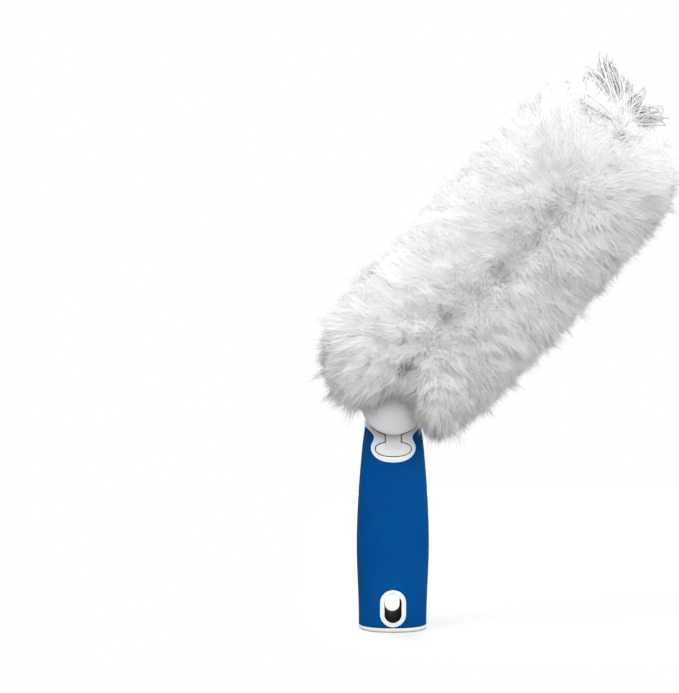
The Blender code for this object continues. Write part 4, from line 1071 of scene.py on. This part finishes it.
def make_pile():
    """The brushed pile: locks of fine ribbons over the cushion, in pieces by front, rear and heel."""
    turn, lift = scatter(LOCKS, 11)
    base = pile_surface(turn, lift)
    kept = ~(in_hub_way(base) | in_ear_way(base))
    turn, lift = turn[kept], lift[kept]
    # painted shade: each lock's tone is multiplied by 0.55 + 0.45 of its pit share, darkening the locks in
    # and round the pits, over a random tone from 0.96 to 1.03
    tones_and_shade = np.random.default_rng(12).uniform(0.96, 1.03, len(turn)) * (0.55 + 0.45 * pit_share(base[kept]))
    paths, normals = lock_strands(turn, lift, 13)
    heel = in_heel(paths).any(axis=(1, 2)) & (lift < SEAM_LIFT)
    front = (lift > 0) & ~heel
    away = np.linalg.norm(paths - (0, PADDLE_MIDDLE, PIVOT), axis=-1)
    near = (away < HUB_REACH) | ((away < FOLDED_REACH) & (to_head(paths)[0] < 0))
    depth = paths[..., 1]
    depth[...] = np.where(near & front[:, None, None], np.minimum(depth, HALF_BACK), depth)
    depth[...] = np.where(in_hub_way(paths), FRINGE_BACK - 2 * GAP, depth)
    depth[...] = PADDLE_MIDDLE + np.clip(depth - PADDLE_MIDDLE, -PILE_MOST, PILE_MOST)
    clear = ~in_ear_way(paths).any(axis=(1, 2))
    groups = {"pile_front": front, "pile_rear": ~front & ~heel & clear, "pile_heel": heel & clear}
    for node, chosen in groups.items():
        members = np.flatnonzero(chosen)
        pieces = max(1, math.ceil(len(members) * PER_LOCK * 3 / PIECE_TRIANGLES))
        for index, part in enumerate(np.array_split(members, pieces)):
            item = strand_ribbons(f"{node}_strands_{index}", paths[part], normals[part], tones_and_shade[part])
            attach(item, "sleeve")
            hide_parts(node)
            if node == "pile_heel":
                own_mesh(item)


def arch(radius, start):
    """Half a circle about the pivot in X and Z, from the angle start on."""
    turn = np.linspace(start, start + math.pi, 49)
    return radius * np.column_stack([np.cos(turn), np.sin(turn)]) + (0, PIVOT)


def ways():
    """Closed bodies for the room that the hub, the ear, the shoulder and the paddle need inside the pile."""
    round_hub, round_ear = arch(HUB_WAY, -HEAD_TILT), arch(EAR_WAY, 0)
    down = -0.06 * ALONG[[0, 2]]
    hub_outline = np.concatenate([round_hub, [round_hub[-1] + down, round_hub[0] + down]])
    foot, brow = 0.05, PIVOT - EAR_WAY_DROP
    side = [(-EAR_WAY, foot), (2 * EAR_WAY, foot), (2 * EAR_WAY, brow), (EAR_WAY, brow)]
    return [prism("hub way", hub_outline, FRINGE_BACK, PADDLE_MIDDLE + 0.001),
            prism("ear way", np.concatenate([round_ear, side]), CORE_CUT, 0.1),
            tube_shell("paddle way", paddle_rings(CUFF_ROOM, 0.0, PADDLE_LENGTH + CUFF_ROOM), None)]


def fold_ways():
    """The directions across and along the face, in X and Z, on which the pile meets the folded handle."""
    return np.array([-math.cos(FOLD), math.sin(FOLD)]), np.array([-math.sin(FOLD), -math.cos(FOLD)])


def make_pile_core():
    """The soft body under the strands: the same cushion drawn in, without the heel, which folds."""
    turns, lifts = np.linspace(0, 1, 160, endpoint=False), np.linspace(-1.5, 1.5, 81)
    core = tube_shell("pile_core", pile_surface(turns[None, :], lifts[:, None], PILE_CORE), PILE_FIBRE)
    toward, beside = fold_ways()
    limit, far = FOLD_CLEARANCE + LINING_BACK, 0.3
    corners = ((-far, -far), (limit, -far), (limit, far), (-far, far))
    fold_outline = [(0, PIVOT) + out * toward + up * beside for out, up in corners]
    carve(core, [prism("fold", fold_outline, CORE_CUT, 0.1), *ways()])
    core.data.validate()  # drops the doubled faces that the cuts leave where the core ends in a thin edge
    for label, value in (("along", 0.5), ("tint", 1.0)):
        set_values(core, label, np.full(len(core.data.vertices), value))
    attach(core, "sleeve")
    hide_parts("pile_front", "pile_rear")


def flat_locks(rng, base, normal, flow, rise):
    """Short locks that lie along flow on a flat face and bow off it by rise."""
    shape = (len(base), PER_LOCK, 3)
    offset = rng.normal(0, LINING_SPREAD, shape)
    offset = offset - 0.9 * (offset @ normal)[..., None] * normal
    own = rng.uniform(0.6, 1.2, (*shape[:2], 1))
    base, reach = base[:, None], STRAND_REACH * flow[:, None]
    root = base + offset
    bend = base + 0.8 * offset + own * (0.45 * reach + rise * normal)
    tip = base + 0.6 * offset + own * (0.9 * reach) + rng.normal(0, 0.001, shape)
    return np.stack([root, bend, tip], axis=2)


def make_lining():
    """Short locks on the two inner faces that show when the heel gives way.

    One is the back of the front half, the other the cut face beside the handle.
    """
    rng = np.random.default_rng(17)
    tries = LINING_LOCKS * 4
    across, along = rng.uniform(PILE_LEFT, PILE_RIGHT, tries), rng.uniform(PILE_NEAR, 0.10, tries)
    base = to_world(across, along, LINING_DEPTH)
    kept = (pile_share(across, along) < LINING_EDGE) & ~in_hub_way(base)
    kept &= (np.abs(across) > PADDLE_ROOM) | (along < 0)
    kept &= in_heel(base - LINING_PAST_HEEL * ALONG) | in_ear_way(base - LINING_PAST_EAR * FRONT)
    base = base[kept][:LINING_LOCKS]
    flow = unit(base - (0, LINING_DEPTH, PIVOT)) + rng.normal(0, 0.4, base.shape)
    flow[:, 1] = 0
    paths = flat_locks(rng, base, -FRONT, flow, LINING_RISE)
    paths[..., 1] = np.minimum(paths[..., 1], HALF_BACK)

    toward, beside = fold_ways()
    place, depth = rng.uniform(-0.08, 0.10, (tries, 1)), rng.uniform(LINING_DEPTH, 0.020, tries)
    flat = (FOLD_CLEARANCE + LINING_BACK) * toward + place * beside
    base = np.column_stack([flat[:, 0], depth, flat[:, 1] + PIVOT])
    across, along = flat @ ACROSS[[0, 2]], flat @ ALONG[[0, 2]]
    kept = depth - PADDLE_MIDDLE < pile_height(across, along) - 0.004
    base = base[kept & (pile_share(across, along) < CUT_FACE_EDGE) & ~in_ear_way(base)][:LINING_LOCKS]
    normal = -np.array([toward[0], 0, toward[1]])
    flow = in_surface(rng.normal(0, 0.5, base.shape) + (0, 0.5, 0), normal)
    paths = np.concatenate([paths, flat_locks(rng, base, normal, flow, CUT_FACE_RISE)])
    clear = ~(in_hub_way(paths) | in_ear_way(paths)).any(axis=(1, 2))
    paths = paths[clear]
    normals = np.where(paths[:, 0, 0, 1:2] <= LINING_DEPTH + 0.0012, -FRONT, normal)
    item = strand_ribbons("pile_lining", paths, normals, rng.uniform(0.94, 1.02, len(paths)))
    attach(item, "sleeve")


def string_tubes(name, paths, radius, material, sides=6):
    """Strings as closed tubes: a small polygon carried along each path, both ends filled."""
    count, rows, _ = paths.shape
    heading = unit(np.gradient(paths, axis=1))
    across = unit(np.cross(heading, np.array([0.3, -0.9, 0.3])))
    other = np.cross(heading, across)
    c, s = circle(sides)
    ring = across[:, :, None] * c[:, None] + other[:, :, None] * s[:, None]
    points = (paths[:, :, None] + radius * ring).reshape(-1, 3)
    first = np.arange(count)[:, None, None] * rows * sides
    faces = [(first + part).reshape(-1, part.shape[1]) for part in tube_faces(rows, sides)]
    item = mesh_object(name, points, faces, material)
    tint = np.random.default_rng(5).uniform(*YARN_TINTS, (count, 1, 1))
    shape = (count, rows, sides)
    set_values(item, "along", np.broadcast_to(np.linspace(0, 1, rows)[None, :, None], shape))
    set_values(item, "tint", np.broadcast_to(tint, shape))
    return item


def make_yarn():
    """The tuft: long loops of yarn that fan out over the pile from one knot at its far end.

    Each runs out and back by 1 - |2 t - 1|^1.6 of its length, on the pile's own height.
    """
    rng = np.random.default_rng(21)
    angle = np.radians(np.concatenate([rng.uniform(*fan) for fan in YARN_FANS]))
    count = len(angle)
    spread = rng.uniform(*YARN_LENGTH_RANGE, count)
    length = smooth_table(np.degrees(angle), YARN_ANGLES, YARN_LENGTHS) * spread
    in_front = rng.random(count) < YARN_IN_FRONT
    side = np.where(in_front, rng.uniform(0.80, 1.12, count), rng.uniform(-0.9, 0.8, count))
    knot_across = rng.normal(KNOT_ACROSS, KNOT_SPREADS[0], (count, 1))
    knot_along = rng.normal(KNOT_ALONG, KNOT_SPREADS[1], (count, 1))
    share = np.linspace(0, 1, 25)
    out = 1 - np.abs(2 * share - 1) ** LOOP_POWER
    width = rng.uniform(*LOOP_WIDTHS, count) * rng.choice((-1, 1), count)
    sway = rng.normal(0, LOOP_SWAY, (count, 2))
    phase = rng.uniform(0, 2 * math.pi, (count, 1))
    opened = (width / length)[:, None] * (2 * share - 1) * LOOP_TWIST
    turned = angle[:, None] * (0.65 + 0.35 * out) + opened
    reach = length[:, None] * out
    bow = np.sin(rng.uniform(2, 5.5, (count, 1)) * math.pi * share + phase) * np.minimum(3 * out, 1)
    across = knot_across + reach * np.sin(turned) + sway[:, :1] * bow
    along = knot_along + reach * np.cos(turned) + sway[:, 1:] * np.roll(bow, 1, axis=0)
    height = np.maximum(pile_height(across, along), YARN_FLOAT * (1 - out))
    lifted = YARN_PROUD * (1 + 0.8 * np.sin(5 * share + phase))
    depth = PADDLE_MIDDLE - side[:, None] * (height + lifted)
    yarn = string_tubes("yarn_tuft", to_world(across, along, depth), YARN_RADIUS, YARN_FIBRE)
    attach(yarn, "sleeve")
    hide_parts("tip_yarn")


# Stage

def make_floor():
    """A pale floor, |x|^6 + |y|^6 = 1 about its middle, that turns white at its edge.

    It reaches from the handle's foot to where the shadow falls, and ends beside the handle, so that the
    folded head hangs clear of it.
    """
    rows, columns = 20, 160
    outline = [reach * np.sign(way) * np.abs(way) ** (2 / FLOOR_SQUARENESS)
               for reach, way in zip(FLOOR_REACH, circle(columns))]
    share = np.linspace(0.02, 1, rows)[:, None]
    x, y = (middle + share * side for middle, side in zip(FLOOR_MIDDLE, outline))
    made, tree, shader = new_material("pale floor")
    faces = [grid_faces(rows, columns)[:, ::-1], np.arange(columns)[None, :]]
    floor = mesh_object("floor", np.stack([x, y, 0 * x], axis=-1), faces, made)
    light_path = add_node(tree, "LightPath")
    place = object_place(tree)
    offset = add_node(tree, "VectorMath", {"operation": "SUBTRACT"}, i0=place,
                      i1=(*FLOOR_MIDDLE, 0))
    shares = add_node(tree, "VectorMath", {"operation": "DIVIDE"}, i0=offset.outputs[0],
                      i1=(*FLOOR_REACH, 1))
    parts = add_node(tree, "SeparateXYZ", i0=shares.outputs[0])
    powers = [add_math(tree, "POWER", part, FLOOR_SQUARENESS) for part in parts.outputs[:2]]
    level = add_node(tree, "MapRange", Value=add_math(tree, "ADD", *powers), i1=0.42, i2=0.88,
                     i3=SOFT_LIGHT, i4=1.0)
    seen = add_math(tree, "MULTIPLY", light_path.outputs["Is Camera Ray"], level.outputs[0])
    set_inputs(tree, shader, Base_Color=(0.30, 0.30, 0.30, 1), Roughness=0.9, Specular_IOR_Level=0.1,
               Emission_Strength=seen, Emission_Color=(1, 1, 1, 1))


def make_surroundings():
    """White all round where it is seen or mirrored, and a softer light elsewhere."""
    world = bpy.data.worlds.new("studio")
    bpy.context.scene.world = world
    world.use_nodes = True
    tree = world.node_tree
    path = add_node(tree, "LightPath").outputs
    seen = add_math(tree, "MAXIMUM", path["Is Camera Ray"], path["Is Glossy Ray"])
    level = add_node(tree, "MapRange", Value=seen, i3=SOFT_LIGHT, i4=1.0)
    set_inputs(tree, tree.nodes["Background"], Strength=level.outputs[0], Color=(1, 1, 1, 1))


def make_lamps():
    """Soft round lamps that face the duster."""
    for name, place, size, power in LAMPS:
        lamp = bpy.data.lights.new(name, "AREA")
        lamp.shape = "DISK"
        lamp.size = size
        lamp.energy = power
        item = add_object(name, lamp)
        item.location = place
        item.rotation_euler = (Vector(LAMP_AIM) - Vector(place)).to_track_quat("-Z", "Y").to_euler()


def make_camera():
    """The camera at the photograph's height, looking a little down."""
    camera = bpy.data.cameras.new("camera")
    camera.lens = SENSOR * CAMERA_DISTANCE / SEEN_WIDTH
    camera.clip_end = 50
    item = add_object("camera", camera)
    back = Vector((0, -math.cos(CAMERA_SLOPE), math.sin(CAMERA_SLOPE)))
    item.location = Vector(CAMERA_AIM) + CAMERA_DISTANCE * back
    item.rotation_euler = (math.pi / 2 - CAMERA_SLOPE, 0, 0)
    bpy.context.scene.camera = item
    bpy.context.scene.view_settings.view_transform = "Standard"


def dress_small_parts():
    """The pieces whose own solids are fine enough get their finishes."""
    looks = {
        "pole_socket": BLACK_LINER, "pivot_bush": ACETAL, "friction_washer": ACETAL, "pivot_screw": STEEL,
        "pivot_nut": STEEL, "nut_washer": STEEL, "lock_leaf": STEEL, "head_frame": PADDLE_GREY,
    }
    for node, look in looks.items():
        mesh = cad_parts[node].data
        mesh.materials.clear()
        mesh.materials.append(look)


make_grip()
make_handle_moulding()
make_beads()
make_button()
make_hub_cover()
make_rear_cap()
make_pouch()
make_cuff()
make_pile_core()
make_pile()
make_lining()
make_yarn()
dress_small_parts()
make_floor()
make_surroundings()
make_lamps()
make_camera()
